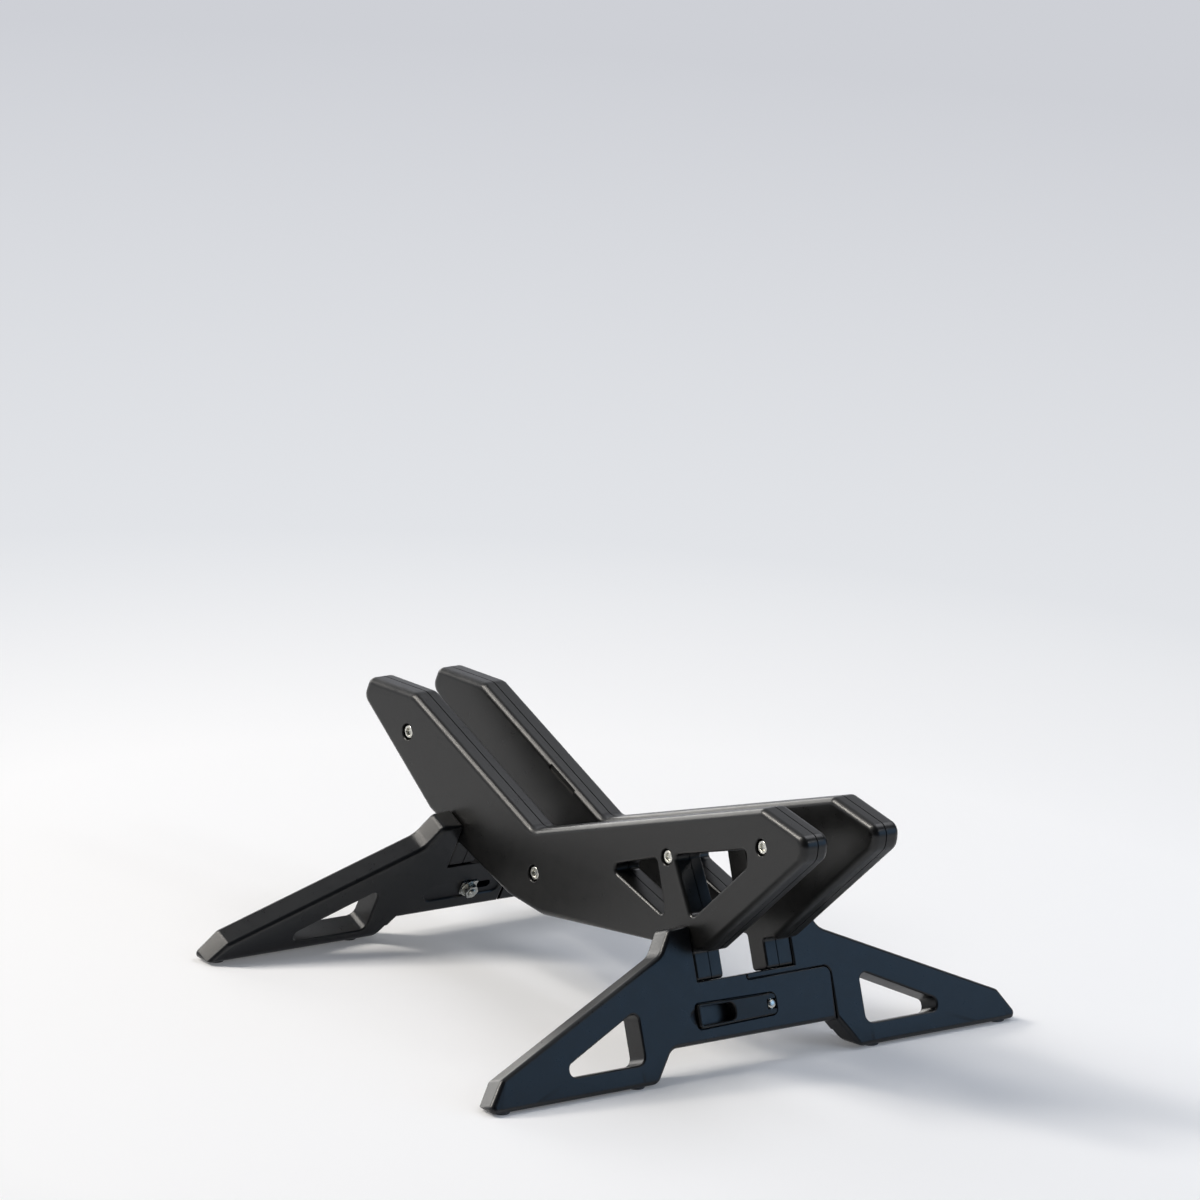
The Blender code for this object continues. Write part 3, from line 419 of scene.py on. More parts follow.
def panelShare(place):
    # the part of the full rounding that the outline gets: the tabs under the panel are finer
    onTab = place.y < sidePanel["tabTop"] and abs(place.x) > sidePanel["tabInner"]
    return sidePanel["tabEdge"] / sidePanel["edge"] if onTab else 1.0


def panelWindowShare(place):
    # the same all round a window
    return sidePanel["windowEdge"] / sidePanel["edge"]


def makePanel(side, values):
    way = sideWays[side]
    shares = (panelShare, panelWindowShare, panelWindowShare)
    loops = [rounded(values["outline"])] + [rounded(window) for window in values["windows"]]
    made = {}
    for shell, step, far in (("Outer", 1, values["outer"]), ("Inner", -1, values["inner"])):
        # a rebate makes the shadow line, and behind it the two shells meet
        touch = way * (values["seam"] + step * values["seamTouch"])
        ledge = way * (values["seam"] + step * values["seamGap"])
        rebate = [(touch, 0, values["seamDepth"]), (ledge, 0, values["seamDepth"])]
        if way * step > 0:
            levels = rebate + roundedLevels(ledge, way * far, 0, values["edge"])
        else:
            levels = roundedLevels(way * far, ledge, values["edge"], 0) + rebate[::-1]
        made[shell] = asObject(side + shell + "Shell", loft(loops, levels, shares))
    for y, z in values["screws"]:
        face = values["outer"]
        depth = values["counterboreDepth"]
        rim = values["counterboreRim"]
        wide = values["counterbore"]
        hole = values["hole"]
        end = values["inner"] + past
        bore = [(0, face + past), (wide + rim + past, face + past), (wide, face - rim), (wide, face - depth)]
        bore += [(hole, face - depth), (hole, end), (0, end)]
        out = Matrix.Translation((y, z, 0)) @ Matrix.Rotation(0 if way > 0 else pi, 4, "X")
        combine(made["Outer"], asObject("bore", turned(bore), out))
        seat = rod(values["insertSeat"], face - values["insertDepth"], face, 24)
        combine(made["Inner"], asObject("seat", seat, out))
    startY, startZ = values["topStart"]
    slope = atan2(values["topEnd"][1] - startZ, values["topEnd"][0] - startY)
    start, length, height, depth = values["relief"]
    low, high = sorted((way * (values["inner"] - past), way * (values["inner"] + depth)))
    at = Matrix.Translation((start, startZ + (start - startY) * tan(slope), 0))
    relief = block((0, -height, low), (length, past, high))
    combine(made["Inner"], asObject("relief", relief, at @ Matrix.Rotation(slope, 4, "Z")))
    body = side + "_side"
    for shell in made:
        node = side + "_" + shell.lower() + "_shell"
        finishPiece(made[shell], panelNylon, body, [node], sideView)


for side in sideWays:
    makePanel(side, sidePanel)
print("stand: side panels made")

# legs

leg = {
    "half": 9.6, "lean": 22.7, "spread": 175.0,  # half thickness, degrees, distance from the middle
    "tip": 240.0, "tipTop": (227.0, 22.0), "heel": 91.5, "arm": (73.0, 89.0),
    "postInner": 44.3, "postOuter": 62.0, "postTop": 106.0, "slotFloor": 65.0,
    "barBottom": 21.5, "barEnd": 75.5, "below": -15.0, "ground": 1.5,
    "edge": 4.0, "armEdge": 3.2, "slotEdge": 1.5, "seamEdge": 0.7, "windowEdge": 1.5, "soleEdge": 4.4,
    "soleSideGap": 0.02, "soleEndGap": 0.05, "soleCorner": 0.2,  # from the leg's sides to the sole's pit
    "window": [(168, 14.5, 4.8), (168, 23.3, 4.8), (101.5, 53.5, 5.0), (101.5, 14.5, 6.5)],
    "lapStart": 0.4, "tongueEnd": 19.0, "lapTop": 60.5, "lapRadius": 6.0, "hookRadius": 2.0,
    "slideGap": 0.7, "fitGap": 0.05,  # round the lap, and on each side of its middle plane
    "recess": (-6.5, 49.5, 7.5, 1.8), "boltSlot": (-1.5, 16.5, 3.3),
    "padAt": (107.5, 227.0), "padRadius": 7.3, "padDepth": 4.3,
    "screwAt": 25.5, "screwBore": 2.3, "screwHead": 3.9, "screwSeat": 27.8,
}
clamp = {
    "x": 16.5, "h": 40.8, "leverEnd": -50.0, "endHalf": 9.0, "camHalf": 7.7, "camReach": 3.3,
    "leverBack": 6.1, "leverFront": 12.1, "backEdge": 0.8, "frontEdge": 1.3,
    "leverCorner": 3.0, "camCorner": 3.4,
    "pin": 8.8, "pinRadius": 2.0, "pinBore": 2.3, "cam": 4.7, "camEdge": 3.0,
    "slotHalf": 3.8, "slotBack": 4.5, "slotCorner": 1.2,
    "hole": [(-47.6, -6.6, 2.2), (-17.0, -6.2, 4.6), (-17.0, 6.2, 4.6), (-47.6, 6.6, 2.2)],
    "gap": 0.7, "underGap": 0.3, "boltHole": 3.3,
    "pocketEnd": 6.3, "pocketRadius": 5.0, "pocketCorner": 3.2, "pocketRim": 0.35, "pocketChamfer": 0.4,
    "well": (-7.7, 5.9, 0.15, 3.4), "wellDepth": 2.5,  # its ends, its margin at the sides, its corners
    "fingerHalf": 7.0, "fingerDepth": 3.0, "scoopRadius": 20.0, "scoopDepth": 1.0,
}
legPlaces = {}
for name, way in legWays.items():
    halfRound = Matrix.Rotation(pi if way > 0 else 0, 4, "Z")
    lean = Matrix.Rotation(pi / 2 - radians(leg["lean"]), 4, "X")
    legPlaces[name] = halfRound @ Matrix.Translation((0, -leg["spread"], 0)) @ lean
leverSides = {"front": "left", "rear": "right"}
tongueSides = {"front": "right", "rear": "left"}


def footOutline(barRadius):
    slope = (leg["heel"] - leg["barEnd"]) / leg["barBottom"]
    heelX = leg["barEnd"] + (leg["barBottom"] - leg["below"]) * slope
    return [
        (leg["postInner"], leg["slotFloor"], 1.0), (leg["postInner"], leg["postTop"], 2.6),
        (leg["postOuter"], leg["postTop"], 6.0), (*leg["arm"], 16.0), (*leg["tipTop"], 4.6),
        (leg["tip"], leg["ground"] + 3, 5.0), (leg["tip"], leg["below"], 0), (heelX, leg["below"], 0),
        (leg["barEnd"], leg["barBottom"], barRadius),
    ]


def legShare(place):
    # the part of the full rounding that an edge gets: fine at the seams, widest on the tips
    if abs(place.x) > leg["tip"] - 6:
        return 1.0
    if place.y < leg["barBottom"] + 0.3:
        return leg["armEdge"] / leg["edge"]
    if abs(place.x) < leg["barEnd"] + 0.3 and place.y < leg["slotFloor"] + 0.3:
        return leg["seamEdge"] / leg["edge"]
    if abs(place.x) < leg["postInner"] + 8:
        return leg["slotEdge"] / leg["edge"]
    return leg["armEdge"] / leg["edge"]


def windowShare(place):
    # the same all round a window
    return leg["windowEdge"] / leg["edge"]


def legShape(outline, window):
    levels = roundedLevels(-leg["half"], leg["half"], leg["edge"], leg["edge"])
    return loft([outline, window], levels, (legShare, windowShare))


def cutSole(target, way):
    # a slab with a pit of the sole's shape cuts the foot level above the floor and rounds it off there
    lean = radians(leg["lean"])
    low = leg["ground"]
    edge = leg["soleEdge"]
    slope = (leg["heel"] - leg["barEnd"]) / leg["barBottom"]
    gap = leg["soleEndGap"]
    deep = leg["half"] / cos(lean) + leg["soleSideGap"]
    rise = leg["half"] * tan(lean)
    front = leg["barEnd"] + slope * (leg["barBottom"] + rise) - gap
    back = leg["barEnd"] + slope * (leg["barBottom"] - rise) - gap
    end = leg["tip"] + gap
    corners = [(back, way * deep), (end, way * deep), (end, -way * deep), (front, -way * deep)]
    outline = rounded([(*corner, edge + leg["soleCorner"]) for corner in corners])
    pit = loft([outline], roundedLevels(low, low + edge + past + 1, edge, 0))
    # the pit leans as the leg does and follows the heel's slope
    for vert in pit.verts:
        vert.co.y += way * vert.co.z * tan(lean)
        vert.co.x -= vert.co.z * slope / cos(lean) * (end - vert.co.x) / (end - (front + back) / 2)
    start = leg["barEnd"] + 1
    slab = asObject("slab", block((start, -through, -through), (end + past, through, low + edge + past)))
    combine(slab, asObject("pit", pit))
    level = Matrix((
        (way, 0, 0, 0),
        (0, way * sin(lean), cos(lean), 0),
        (0, -way * cos(lean), sin(lean), 0),
        (0, 0, 0, 1),
    ))
    slab.data.transform(level)
    combine(target, slab)


def cutPads(target, name, side):
    for x in leg["padAt"]:
        pocket = rod(leg["padRadius"], -2 * past, leg["padDepth"])
        place = Matrix.Translation((sideWays[side] * x, legWays[name] * leg["spread"], 0))
        combine(target, asObject("pocket", pocket, legPlaces[name].inverted() @ place))


def finishLegHalf(made, name, side):
    cutPads(made, name, side)
    cutFootScrew(made, name, side)
    node = name + "_leg_" + side
    finishPiece(made, legNylon, side + "_side", [node], legPlaces[name])


def makeLeverHalf(name):
    side = leverSides[name]
    outline = [
        (leg["lapStart"], leg["slotFloor"], 1.0), *footOutline(10.0),
        (-leg["barEnd"], leg["barBottom"], 0), (-leg["barEnd"], leg["lapTop"], leg["lapRadius"]),
        (leg["lapStart"], leg["lapTop"], leg["hookRadius"]),
    ]
    shape = legShape(mirrored(rounded(outline)), mirrored(rounded(leg["window"])))
    made = asObject(name + "LeverHalf", shape)
    cutSole(made, -1)
    back = block((-leg["tongueEnd"], -past, -leg["half"] - past),
                 (leg["barEnd"] + 2 * past, leg["slotFloor"] + 2 * past, leg["fitGap"]))
    combine(made, asObject("back", back))
    # the lever's pocket has a soft rim, a deeper well for the cam and a floor that falls under the finger
    top = leg["half"]
    rim = clamp["pocketRim"]
    x = clamp["x"]
    h = clamp["h"]
    gap = clamp["gap"]
    end = clamp["leverEnd"] - gap
    tall = clamp["endHalf"] + gap
    low = clamp["camHalf"] + gap
    right = x + clamp["pocketEnd"]
    radius = clamp["pocketRadius"]
    corner = clamp["pocketCorner"]
    pocket = rounded([(end, h - tall, corner), (right, h - low, radius), (right, h + low, radius),
                      (end, h + tall, corner)])
    floor = clamp["leverBack"] - clamp["underGap"]
    chamfer = clamp["pocketChamfer"]
    levels = [(floor, 0, chamfer), (floor + chamfer, 0, 0), (top - rim, 0, 0), (top + 1, 0, -rim - 1)]
    combine(made, asObject("pocket", loft([pocket], levels)))
    wellBack, wellFront, margin, corner = clamp["well"]
    well = boxLoop(x + wellBack, x + wellFront, h - low + margin, h + low - margin, corner)
    levels = [(clamp["wellDepth"], 0, 0), (floor + 2 * chamfer, 0, 0)]
    combine(made, asObject("well", loft([well], levels)))
    holeStart = clamp["hole"][0][0]
    length = clamp["hole"][1][0] - holeStart
    slope = Matrix.Rotation(atan2(clamp["fingerDepth"], length), 4, "Y")
    fall = block((0, -clamp["fingerHalf"], 0), (length, clamp["fingerHalf"], past))
    combine(made, asObject("fall", fall, Matrix.Translation((holeStart, h, floor)) @ slope))
    hole = rod(clamp["boltHole"], -through, through)
    combine(made, asObject("hole", hole, Matrix.Translation((x, h, 0))))
    scoop = bmesh.new()
    bmesh.ops.create_uvsphere(scoop, u_segments=72, v_segments=48, radius=clamp["scoopRadius"])
    centre = Vector((end, h, top + clamp["scoopRadius"] - clamp["scoopDepth"]))
    combine(made, asObject("scoop", scoop, Matrix.Translation(centre)))
    finishLegHalf(made, name, side)


def makeTongueHalf(name):
    side = tongueSides[name]
    start = -(leg["tongueEnd"] - leg["slideGap"])
    outline = [(start, leg["slotFloor"], 1.0), *footOutline(0), (start, leg["barBottom"], 0)]
    made = asObject(name + "TongueHalf", legShape(rounded(outline), rounded(leg["window"])))
    cutSole(made, 1)
    end = leg["barEnd"] + leg["slideGap"]
    top = leg["lapTop"] + leg["slideGap"]
    hook = -(leg["lapStart"] - leg["slideGap"])
    over = leg["slotFloor"] + 10
    left = start - 10
    corners = [(left, -10, 0), (end, -10, 0), (end, top, leg["lapRadius"]), (hook, top, leg["hookRadius"])]
    corners += [(hook, over, 0), (left, over, 0)]
    face = leg["half"]
    lip = leg["seamEdge"]
    # the lap's edge is softened where it meets the front face
    levels = [(-leg["fitGap"], 0, 0), (face - lip, 0, 0), (face + 1, 0, -lip - 1)]
    combine(made, asObject("front", loft([rounded(corners)], levels)))
    x0, x1, radius = leg["boltSlot"]
    slot = loft([obround(x0, x1, clamp["h"], radius)], [(-face - past, 0, 0), (past, 0, 0)])
    combine(made, asObject("slot", slot))
    # the nut's recess has a chamfered rim and a floor rounded at its edge
    x0, x1, radius, depth = leg["recess"]
    floor = depth - face
    levels = [(-face - 1, 0, -1.6), (-face + 0.6, 0, 0), (floor - 1.0, 0, 0.1), (floor - 0.3, 0, 0.4),
              (floor, 0, 1.0)]
    combine(made, asObject("recess", loft([obround(x0, x1, clamp["h"], radius)], levels)))
    finishLegHalf(made, name, side)


def footScrewPlace(name, side):
    # where a screw runs up through the crossbar into the panel's foot, on its leg
    x = -legWays[name] * sideWays[side] * leg["screwAt"]
    return Matrix.Translation((x, 0, -leg["half"] / 2)) @ Matrix.Rotation(-pi / 2, 4, "X")


def cutFootScrew(target, name, side):
    narrow = leg["screwBore"]
    wide = leg["screwHead"]
    seat = leg["screwSeat"]
    high = leg["slotFloor"] + past
    bore = [(0, high), (narrow, high), (narrow, seat), (wide, seat), (wide, 0), (0, 0)]
    combine(target, asObject("bore", turned(bore, 32), footScrewPlace(name, side)))


for name in legWays:
    makeLeverHalf(name)
    makeTongueHalf(name)
print("stand: legs made")

# clamp levers and their hardware


def makeLever(name):
    place = legPlaces[name]
    x = clamp["x"]
    h = clamp["h"]
    half = clamp["camHalf"]
    wide = clamp["endHalf"]
    front = clamp["leverFront"]
    back = clamp["leverBack"]
    tip = x + clamp["camReach"]
    end = clamp["leverEnd"]
    corner = clamp["leverCorner"]
    tipCorner = clamp["camCorner"]
    plate = rounded([(end, h - wide, corner), (tip, h - half, tipCorner), (tip, h + half, tipCorner),
                     (end, h + wide, corner)])
    hole = rounded([(holeX, h + holeH, radius) for holeX, holeH, radius in clamp["hole"]])
    levels = roundedLevels(back, front, clamp["backEdge"], clamp["frontEdge"])
    made = asObject(name + "Lever", loft([plate, hole], levels))
    # the cam end, round about the cross pin and no higher than the lever's face
    edge = clamp["camEdge"]
    cam = loft([ring(x, clamp["pin"], clamp["cam"], 80)], roundedLevels(-h - half, half - h, edge, edge))
    camEnd = asObject("cam", cam, Matrix.Rotation(pi / 2, 4, "X"))
    combine(camEnd, asObject("over", block((x - 9, h - 20, front - 0.05), (x + 9, h + 20, front + 9))))
    combine(made, camEnd, "UNION")
    # the leaf between the two cam lobes is cut away for the bolt
    leaf = clamp["slotHalf"]
    slot = boxLoop(x - clamp["slotBack"], x + through, h - leaf, h + leaf, clamp["slotCorner"])
    combine(made, asObject("slot", loft([slot], [(-through, 0, 0), (through, 0, 0)])))
    across = Matrix.Translation((x, h, clamp["pin"])) @ Matrix.Rotation(pi / 2, 4, "X")
    combine(made, asObject("bore", rod(clamp["pinBore"], -through, through, 32), across))
    finishPiece(made, leverNylon, name + "_lever", [name + "_lever"], place)
    end = half - 0.1
    pin = [(0, end)]
    pin += [(clamp["pinRadius"] - inset, end - drop) for inset, drop in ((0.5, 0), (0.15, 0.15), (0, 0.5))]
    pin += [(radius, -height) for radius, height in reversed(pin)]
    pinPiece = asObject(name + "CrossPin", turned(pin, 40))
    node = name + "_cross_pin"
    finishPiece(pinPiece, zinc, name + "_lever", [node], place @ across)


clampMetal = {
    "boltHead": 3.4, "dome": 1.1, "bolt": 3.0, "headTop": 12.3, "headLow": 4.1,
    "plateLow": -9.3, "plate": 1.2, "washerLow": -10.8, "washer": 1.2, "washerRadius": 6.8,
    "nutLow": -15.1, "nut": 4.0, "nutAcross": 10.0, "boltEnd": -16.6,
    "plateEdge": 0.25, "backPlate": [(-5.5, -5.5, 1), (6.5, -5.5, 1), (6.5, 5.5, 1), (-8.5, 5.5, 1)],
    "camPlate": (2.8, 3.8), "camPlateEdge": 0.2, "camPlateBox": (-7.4, 5.4, -7.6, 7.6, 3.0),
}


def makeClampMetal(name):
    values = clampMetal
    place = legPlaces[name] @ Matrix.Translation((clamp["x"], clamp["h"], 0))
    body = leverSides[name] + "_side"
    head = values["boltHead"]
    top = values["headTop"]
    shank = values["bolt"]
    dome = [(head * sin(turn), top - values["dome"] * (1 - cos(turn))) for turn in quarterTurns(12)]
    profile = dome + [(head, values["headLow"]), (shank, values["headLow"])]
    profile += [(shank, values["boltEnd"] + 0.6), (shank - 0.5, values["boltEnd"]), (0, values["boltEnd"])]
    bolt = asObject(name + "ClampBolt", turned(profile, 64))
    across = Matrix.Translation((0, 0, clamp["pin"])) @ Matrix.Rotation(pi / 2, 4, "X")
    combine(bolt, asObject("eye", rod(clamp["pinBore"], -through, through, 32), across))
    finishPiece(bolt, zinc, body, [name + "_clamp_bolt"], place)
    bore = ring(0, 0, clamp["boltHole"])
    low = values["nutLow"]
    corner = values["nutAcross"] / sqrt(3)
    high = low + values["nut"]
    nut = asObject(name + "ClampNut", loft([ring(0, 0, corner, 6), bore], [(low, 0, 0), (high, 0, 0)]))
    # both faces of the nut are turned to a cone, so its corners are chamfered
    cone = [(0, high + 0.01), (corner - 0.5, high + 0.01), (corner + 0.4, high - 0.5)]
    cone += [(corner + 0.4, low + 0.5), (corner - 0.5, low - 0.01), (0, low - 0.01)]
    combine(nut, asObject("cone", turned(cone, 64)), "INTERSECT")
    finishPiece(nut, zinc, body, [name + "_clamp_nut"], place)
    low = values["washerLow"]
    edge = values["plateEdge"]
    levels = roundedLevels(low, low + values["washer"], edge, edge)
    washer = asObject(name + "ClampWasher", loft([ring(0, 0, values["washerRadius"]), bore], levels))
    finishPiece(washer, zinc, body, [name + "_clamp_washer"], place)
    low = values["plateLow"]
    levels = roundedLevels(low, low + values["plate"], edge, edge)
    backPlate = asObject(name + "BackPlate", loft([rounded(values["backPlate"]), bore], levels))
    finishPiece(backPlate, zinc, body, [name + "_back_plate"], place)
    levels = roundedLevels(*values["camPlate"], values["camPlateEdge"], values["camPlateEdge"])
    camPlate = asObject(name + "CamPlate", loft([boxLoop(*values["camPlateBox"]), bore], levels))
    finishPiece(camPlate, zinc, body, [name + "_cam_plate"], place)


for name in legWays:
    makeLever(name)
    makeClampMetal(name)
print("stand: clamps made")

# screws, inserts and pads, set out with Geometry Nodes


def fastenerTree(title):
    # sets a copy of one fastener on each point, turned by the point's angles and spun at random
    tree = bpy.data.node_groups.new(title, "GeometryNodeTree")
    tree.interface.new_socket("Points", in_out="INPUT", socket_type="NodeSocketGeometry")
    tree.interface.new_socket("Fastener", in_out="INPUT", socket_type="NodeSocketObject")
    tree.interface.new_socket("Spin", in_out="INPUT", socket_type="NodeSocketFloat")
    tree.interface.new_socket("Seed", in_out="INPUT", socket_type="NodeSocketInt")
    tree.interface.new_socket("Finish", in_out="INPUT", socket_type="NodeSocketMaterial")
    tree.interface.new_socket("Geometry", in_out="OUTPUT", socket_type="NodeSocketGeometry")
    given = addNode(tree, "NodeGroupInput").outputs
    shape = addNode(tree, "GeometryNodeObjectInfo", {"Object": given["Fastener"]},
                    transform_space="ORIGINAL").outputs["Geometry"]
    turn = addNode(tree, "GeometryNodeInputNamedAttribute", {"Name": "turn"},
                   data_type="FLOAT_VECTOR").outputs["Attribute"]
    inputs = {"Points": given["Points"], "Instance": shape, "Rotation": turn}
    copies = addNode(tree, "GeometryNodeInstanceOnPoints", inputs).outputs[0]
    angle = addNode(tree, "FunctionNodeRandomValue", {"Seed": given["Seed"]}, data_type="FLOAT")
    tree.links.new(given["Spin"], angle.inputs[3])
    about = addNode(tree, "ShaderNodeCombineXYZ", {"Z": angle.outputs[1]}).outputs[0]
    spun = addNode(tree, "GeometryNodeRotateInstances", {"Instances": copies, "Rotation": about}).outputs[0]
    real = addNode(tree, "GeometryNodeRealizeInstances", {"Geometry": spun}).outputs[0]
    coloured = addNode(tree, "GeometryNodeSetMaterial", {"Geometry": real, "Material": given["Finish"]})
    addNode(tree, "NodeGroupOutput", {"Geometry": coloured.outputs[0]})
    return tree


setOut = fastenerTree("fastenersOnPoints")


def placeFasteners(name, fastener, places, spin, seed, finish, body, nodes):
    mesh = bpy.data.meshes.new(name)
    mesh.from_pydata([place.to_translation() for place in places], [], [])
    turn = mesh.attributes.new("turn", "FLOAT_VECTOR", "POINT")
    for i, place in enumerate(places):
        turn.data[i].vector = place.to_euler()
    made = bpy.data.objects.new(name, mesh)
    finishedPieces.objects.link(made)
    modifier = made.modifiers.new("setOut", "NODES")
    modifier.node_group = setOut
    given = {item.name: item.identifier for item in setOut.interface.items_tree if item.in_out == "INPUT"}
    modifier[given["Fastener"]] = fastener
    modifier[given["Spin"]] = spin
    modifier[given["Seed"]] = seed
    modifier[given["Finish"]] = finish
    bakeModifiers(made)
    if "turn" in made.data.attributes:
        made.data.attributes.remove(made.data.attributes["turn"])
    finishPiece(made, finish, body, nodes)


panelScrew = {
    "head": 4.9, "rim": 0.8, "top": -1.2, "under": -4.4, "shank": 2.4, "end": -20.85,
    "socket": 5.2, "socketDepth": 1.9, "drill": 2.2, "drillDepth": 0.6,
}
insert = {"radius": 3.6, "hole": 2.7, "from": -21.15, "to": -13.15, "edge": 0.2}
footScrew = {
    "head": 3.6, "shank": 2.0, "end": 77.0, "under": 27.5, "low": 24.5, "edge": 0.5,
    "socket": 2.4, "socketDepth": 1.5,
}
pad = {"radius": 7.0, "thickness": 4.0, "rim": 0.6, "dish": 0.25, "dishTop": 4.7, "dishRim": 5.0}


def panelScrewShape(values):
    # cap head with a rounded rim and a hexagon socket that ends in a drilled cone
    top = values["top"]
    rim = values["rim"]
    shank = values["shank"]
    middle = values["head"] - rim
    edge = [(middle + rim * sin(turn), top - rim + rim * cos(turn)) for turn in quarterTurns(6)]
    profile = [(0, top)] + edge + [(values["head"], values["under"]), (shank, values["under"])]
    profile += [(shank, values["end"]), (0, values["end"])]
    made = asObject("panelScrewShape", turned(profile, 56))
    reach = values["socket"] / sqrt(3)
    floor = top - values["socketDepth"]
    levels = [(floor, 0, 0), (top - 0.3, 0, 0), (top, 0, -0.3), (top + 1, 0, -1.3)]
    combine(made, asObject("socket", loft([ring(0, 0, reach, 6)], levels)))
    drill = values["drill"]
    cone = [(0, floor + 0.3), (drill, floor + 0.3), (drill, floor - 0.02), (0, floor - values["drillDepth"])]
    combine(made, asObject("cone", turned(cone, 32)))
    return made


def insertShape(values):
    sleeve = [ring(0, 0, values["radius"], 40), ring(0, 0, values["hole"], 32)]
    levels = roundedLevels(values["from"], values["to"], values["edge"], values["edge"])
    return asObject("insertShape", loft(sleeve, levels))


def footScrewShape(values):
    head = values["head"]
    shank = values["shank"]
    edge = values["edge"]
    low = values["low"]
    profile = [(0, values["end"]), (shank, values["end"]), (shank, values["under"]), (head, values["under"])]
    profile += [(head, low + edge), (head - edge, low), (0, low)]
    made = asObject("footScrewShape", turned(profile, 40))
    reach = values["socket"] / sqrt(3)
    levels = [(low - past, 0, 0), (low + values["socketDepth"], 0, 0)]
    combine(made, asObject("socket", loft([ring(0, 0, reach, 6)], levels)))
    return made


def padShape(values):
    # a round pad with a rounded rim, a little dished where it stands
    radius = values["radius"]
    rim = values["rim"]
    profile = [(0, values["thickness"]), (radius, values["thickness"])]
    profile += [(radius - rim * (1 - cos(turn)), rim * (1 - sin(turn))) for turn in quarterTurns(5)]
    profile += [(values["dishRim"], 0), (values["dishTop"], values["dish"]), (0, values["dish"])]
    return asObject("padShape", turned(profile, 56))


screwPiece = panelScrewShape(panelScrew)
insertPiece = insertShape(insert)
footPiece = footScrewShape(footScrew)
padPiece = padShape(pad)
oneSixth = radians(60)

for side, way in sideWays.items():
    body = side + "_side"
    face = Matrix.Rotation(way * pi / 2, 4, "Y")
    out = [Matrix.Translation((way * sidePanel["outer"], y, z)) @ face for y, z in sidePanel["screws"]]
    up = [legPlaces[name] @ footScrewPlace(name, side) for name in legWays]
    flat = []
    padNodes = []
    for name in legWays:
        for spot, x in zip(("heel", "tip"), leg["padAt"]):
            flat.append(Matrix.Translation((way * x, legWays[name] * leg["spread"], 0)))
            padNodes.append("pad_%s_%s_%s" % (name, side, spot))
    numbers = range(1, len(out) + 1)
    screwNodes = ["panel_screw_%s_%d" % (side, i) for i in numbers]
    insertNodes = ["insert_%s_%d" % (side, i) for i in numbers]
    footNodes = ["foot_screw_%s_%s" % (name, side) for name in legWays]
    placeFasteners(side + "PanelScrews", screwPiece, out, oneSixth, 7, zinc, body, screwNodes)
    placeFasteners(side + "Inserts", insertPiece, out, 0.0, 1, brass, body, insertNodes)
    placeFasteners(side + "FootScrews", footPiece, up, oneSixth, 3, zinc, body, footNodes)
    placeFasteners(side + "Pads", padPiece, flat, 0.0, 1, rubber, body, padNodes)
for shape in (screwPiece, insertPiece, footPiece, padPiece):
    bpy.data.objects.remove(shape, do_unlink=True)
print("stand: fasteners and pads set out")

# floor, light and camera

studio = {
    # distance from the stand in metres, and the tone there: the paper's own white near the stand, greying
    # outward as a painted falloff of light
    "paperAndPaintedFalloffTones": [(0.6, "#F9F9FA"), (1.2, "#E2E4E8"), (3.2, "#CED0D6")],
    "floorGlow": 0.12, "glowRange": (0.55, 1.1),
    "worldFill": "#BCC8DA", "worldStrength": 0.24,
    "backdrop": "#CED0D6", "roomFront": "#20262F", "roomRange": (-0.5, 0.8),
    "lens": 235.65, "sensor": 36.0,
    "eye": (-3.43277, -4.22363, 1.88459),
    "right": (0.79097, -0.606712, 0.079163),
    "up": (0.110793, 0.269267, 0.956671),
    "ahead": (0.60174, 0.747928, -0.280202),
    # name, direction from the stand, distance, width, height, power, colour
    "lamps": [
        ("keySoftbox", (-0.58, 0.53, 0.62), 8.0, 1.0, 1.0, 148, "#FFF8ED"),
        ("tallSoftbox", (-0.55, 0.42, 0.72), 6.0, 1.2, 4.6, 230, "#FFFAF2"),
        ("lowSoftbox", (0.0, 0.97, 0.22), 6.0, 5.6, 1.6, 130, "#FFFCF6"),
        ("topSoftbox", (0.50, 0.05, 0.85), 5.0, 2.4, 2.4, 54, "#F6F7FC"),
        ("frontSoftbox", (0.66, -0.68, 0.34), 2.2, 1.5, 1.0, 8.0, "#9BC2EA"),
        ("smallSoftbox", (0.46, -0.62, 0.63), 3.0, 0.3, 0.3, 4.0, "#FFFFFF"),
    ],
}


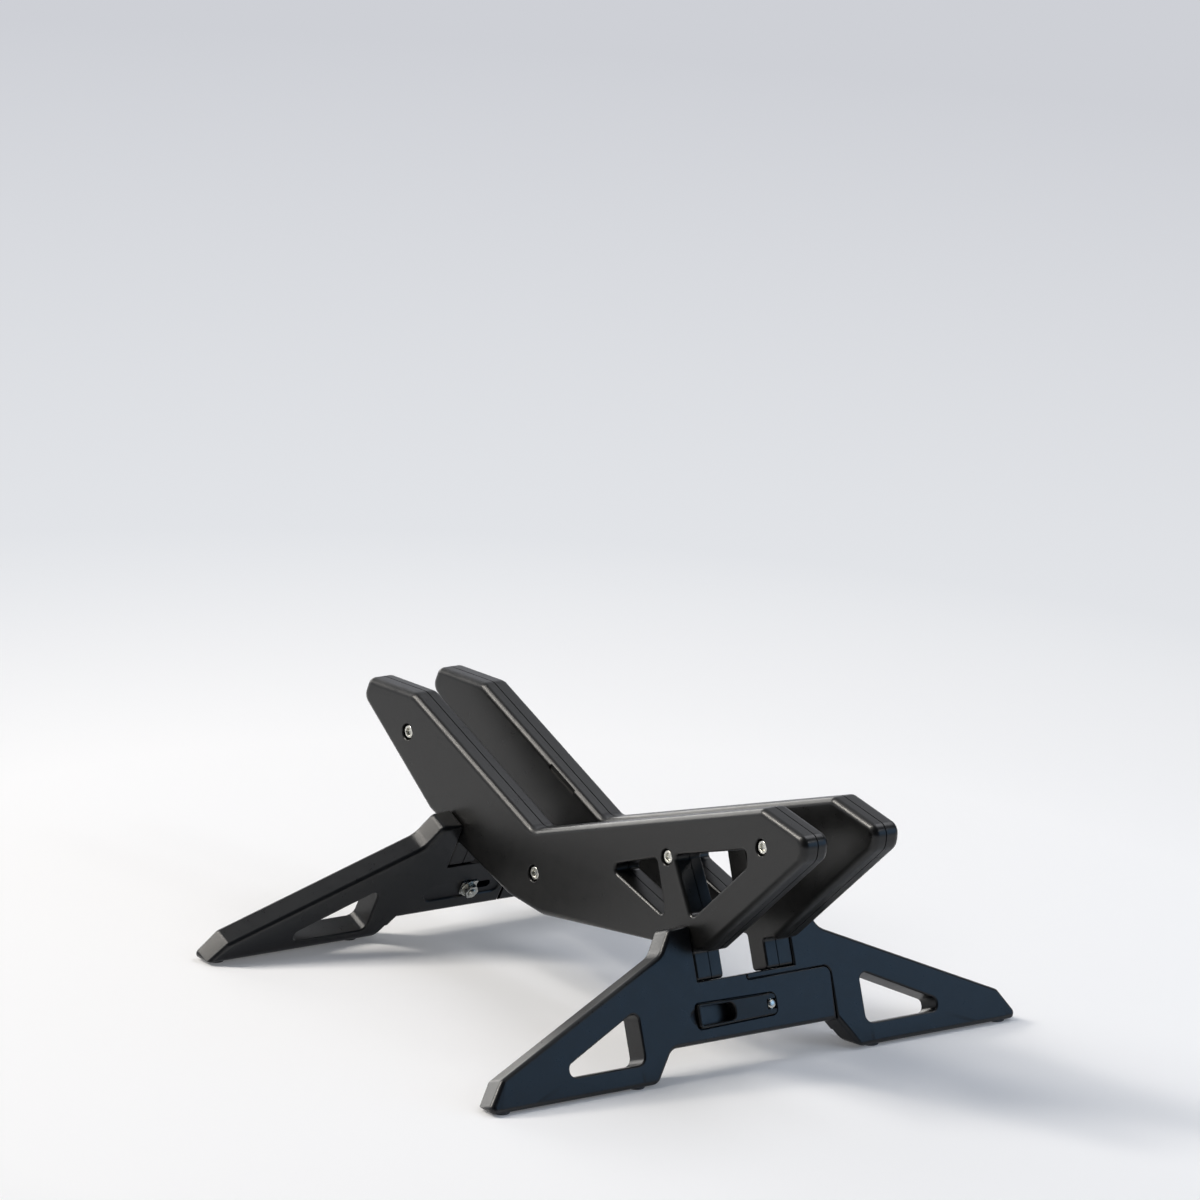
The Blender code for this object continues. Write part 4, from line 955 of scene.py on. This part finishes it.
def makeFloor(values):
    shape = bmesh.new()
    bmesh.ops.create_grid(shape, x_segments=1, y_segments=1, size=60)
    mesh = bpy.data.meshes.new("studioFloor")
    shape.to_mesh(mesh)
    shape.free()
    floor = bpy.data.objects.new("studioFloor", mesh)
    bpy.context.scene.collection.objects.link(floor)
    material, tree = newMaterial("matteWhitePaper")
    rays = addNode(tree, "ShaderNodeLightPath").outputs
    place = addNode(tree, "ShaderNodeTexCoord").outputs["Object"]
    radius = addNode(tree, "ShaderNodeVectorMath", {0: place}, operation="LENGTH").outputs["Value"]
    # pale near the stand and greyer behind it, the greying a painted falloff of light, where the paper only
    # glows and takes no shadow
    reach = values["paperAndPaintedFalloffTones"][-1][0]
    ramp = addNode(tree, "ShaderNodeValToRGB", {"Fac": reckoned(tree, "DIVIDE", radius, reach)})
    stops = ramp.color_ramp.elements
    stops.new(values["paperAndPaintedFalloffTones"][1][0] / reach)
    for stop, (distance, tone) in zip(stops, values["paperAndPaintedFalloffTones"]):
        stop.position = distance / reach
        stop.color = linear(tone)
    tint = ramp.outputs["Color"]
    away = remapped(tree, radius, values["glowRange"], (values["floorGlow"], 1.0), "SMOOTHSTEP")
    seen = reckoned(tree, "MAXIMUM", rays["Is Camera Ray"], rays["Is Glossy Ray"])
    part = reckoned(tree, "MULTIPLY", seen, away)
    paper = addNode(tree, "ShaderNodeBsdfDiffuse", {"Color": tint}).outputs[0]
    glow = addNode(tree, "ShaderNodeEmission", {"Color": tint, "Strength": 1.0}).outputs[0]
    both = addNode(tree, "ShaderNodeMixShader", {0: part, 1: paper, 2: glow}).outputs[0]
    addNode(tree, "ShaderNodeOutputMaterial", {"Surface": both})
    mesh.materials.append(material)


def skyLight(tree, colour, strength=1.0):
    return addNode(tree, "ShaderNodeBackground", {"Color": colour, "Strength": strength}).outputs[0]


def makeWorld(values):
    world = bpy.data.worlds.new("studioWorld")
    world.use_nodes = True
    tree = world.node_tree
    tree.nodes.clear()
    rays = addNode(tree, "ShaderNodeLightPath").outputs
    fill = skyLight(tree, linear(values["worldFill"]), values["worldStrength"])
    seen = skyLight(tree, linear(values["backdrop"]))
    # what shines in the plastic and the metal: a pale backdrop behind the stand and a dim room before it
    way = addNode(tree, "ShaderNodeTexCoord").outputs["Generated"]
    behind = addNode(tree, "ShaderNodeSeparateXYZ", {0: way}).outputs["Y"]
    share = remapped(tree, behind, values["roomRange"], (0.0, 1.0), "SMOOTHSTEP")
    shine = skyLight(tree, between(tree, share, values["roomFront"], values["backdrop"]))
    shiny = addNode(tree, "ShaderNodeMixShader", {0: rays["Is Glossy Ray"], 1: fill, 2: shine}).outputs[0]
    both = addNode(tree, "ShaderNodeMixShader", {0: rays["Is Camera Ray"], 1: shiny, 2: seen}).outputs[0]
    addNode(tree, "ShaderNodeOutputWorld", {"Surface": both})
    bpy.context.scene.world = world


def makeLamps(values):
    for name, way, distance, width, height, power, colour in values["lamps"]:
        lamp = bpy.data.lights.new(name, "AREA")
        lamp.shape = "RECTANGLE"
        lamp.size = width
        lamp.size_y = height
        lamp.energy = power
        lamp.color = linear(colour)[:3]
        holder = bpy.data.objects.new(name, lamp)
        holder.location = Vector(way).normalized() * distance
        holder.rotation_euler = (-Vector(way)).to_track_quat("-Z", "Y").to_euler()
        bpy.context.scene.collection.objects.link(holder)


def makeCamera(values):
    camera = bpy.data.cameras.new("studioCamera")
    camera.lens = values["lens"]
    camera.sensor_width = values["sensor"]
    camera.clip_start = 0.1
    camera.clip_end = 200
    holder = bpy.data.objects.new("studioCamera", camera)
    bpy.context.scene.collection.objects.link(holder)
    back = -Vector(values["ahead"])
    turn = Matrix((Vector(values["right"]), Vector(values["up"]), back)).transposed().to_4x4()
    holder.matrix_world = Matrix.Translation(values["eye"]) @ turn
    bpy.context.scene.camera = holder


makeFloor(studio)
makeWorld(studio)
makeLamps(studio)
makeCamera(studio)
bpy.context.scene.view_settings.view_transform = "Standard"
print("stand: studio ready")
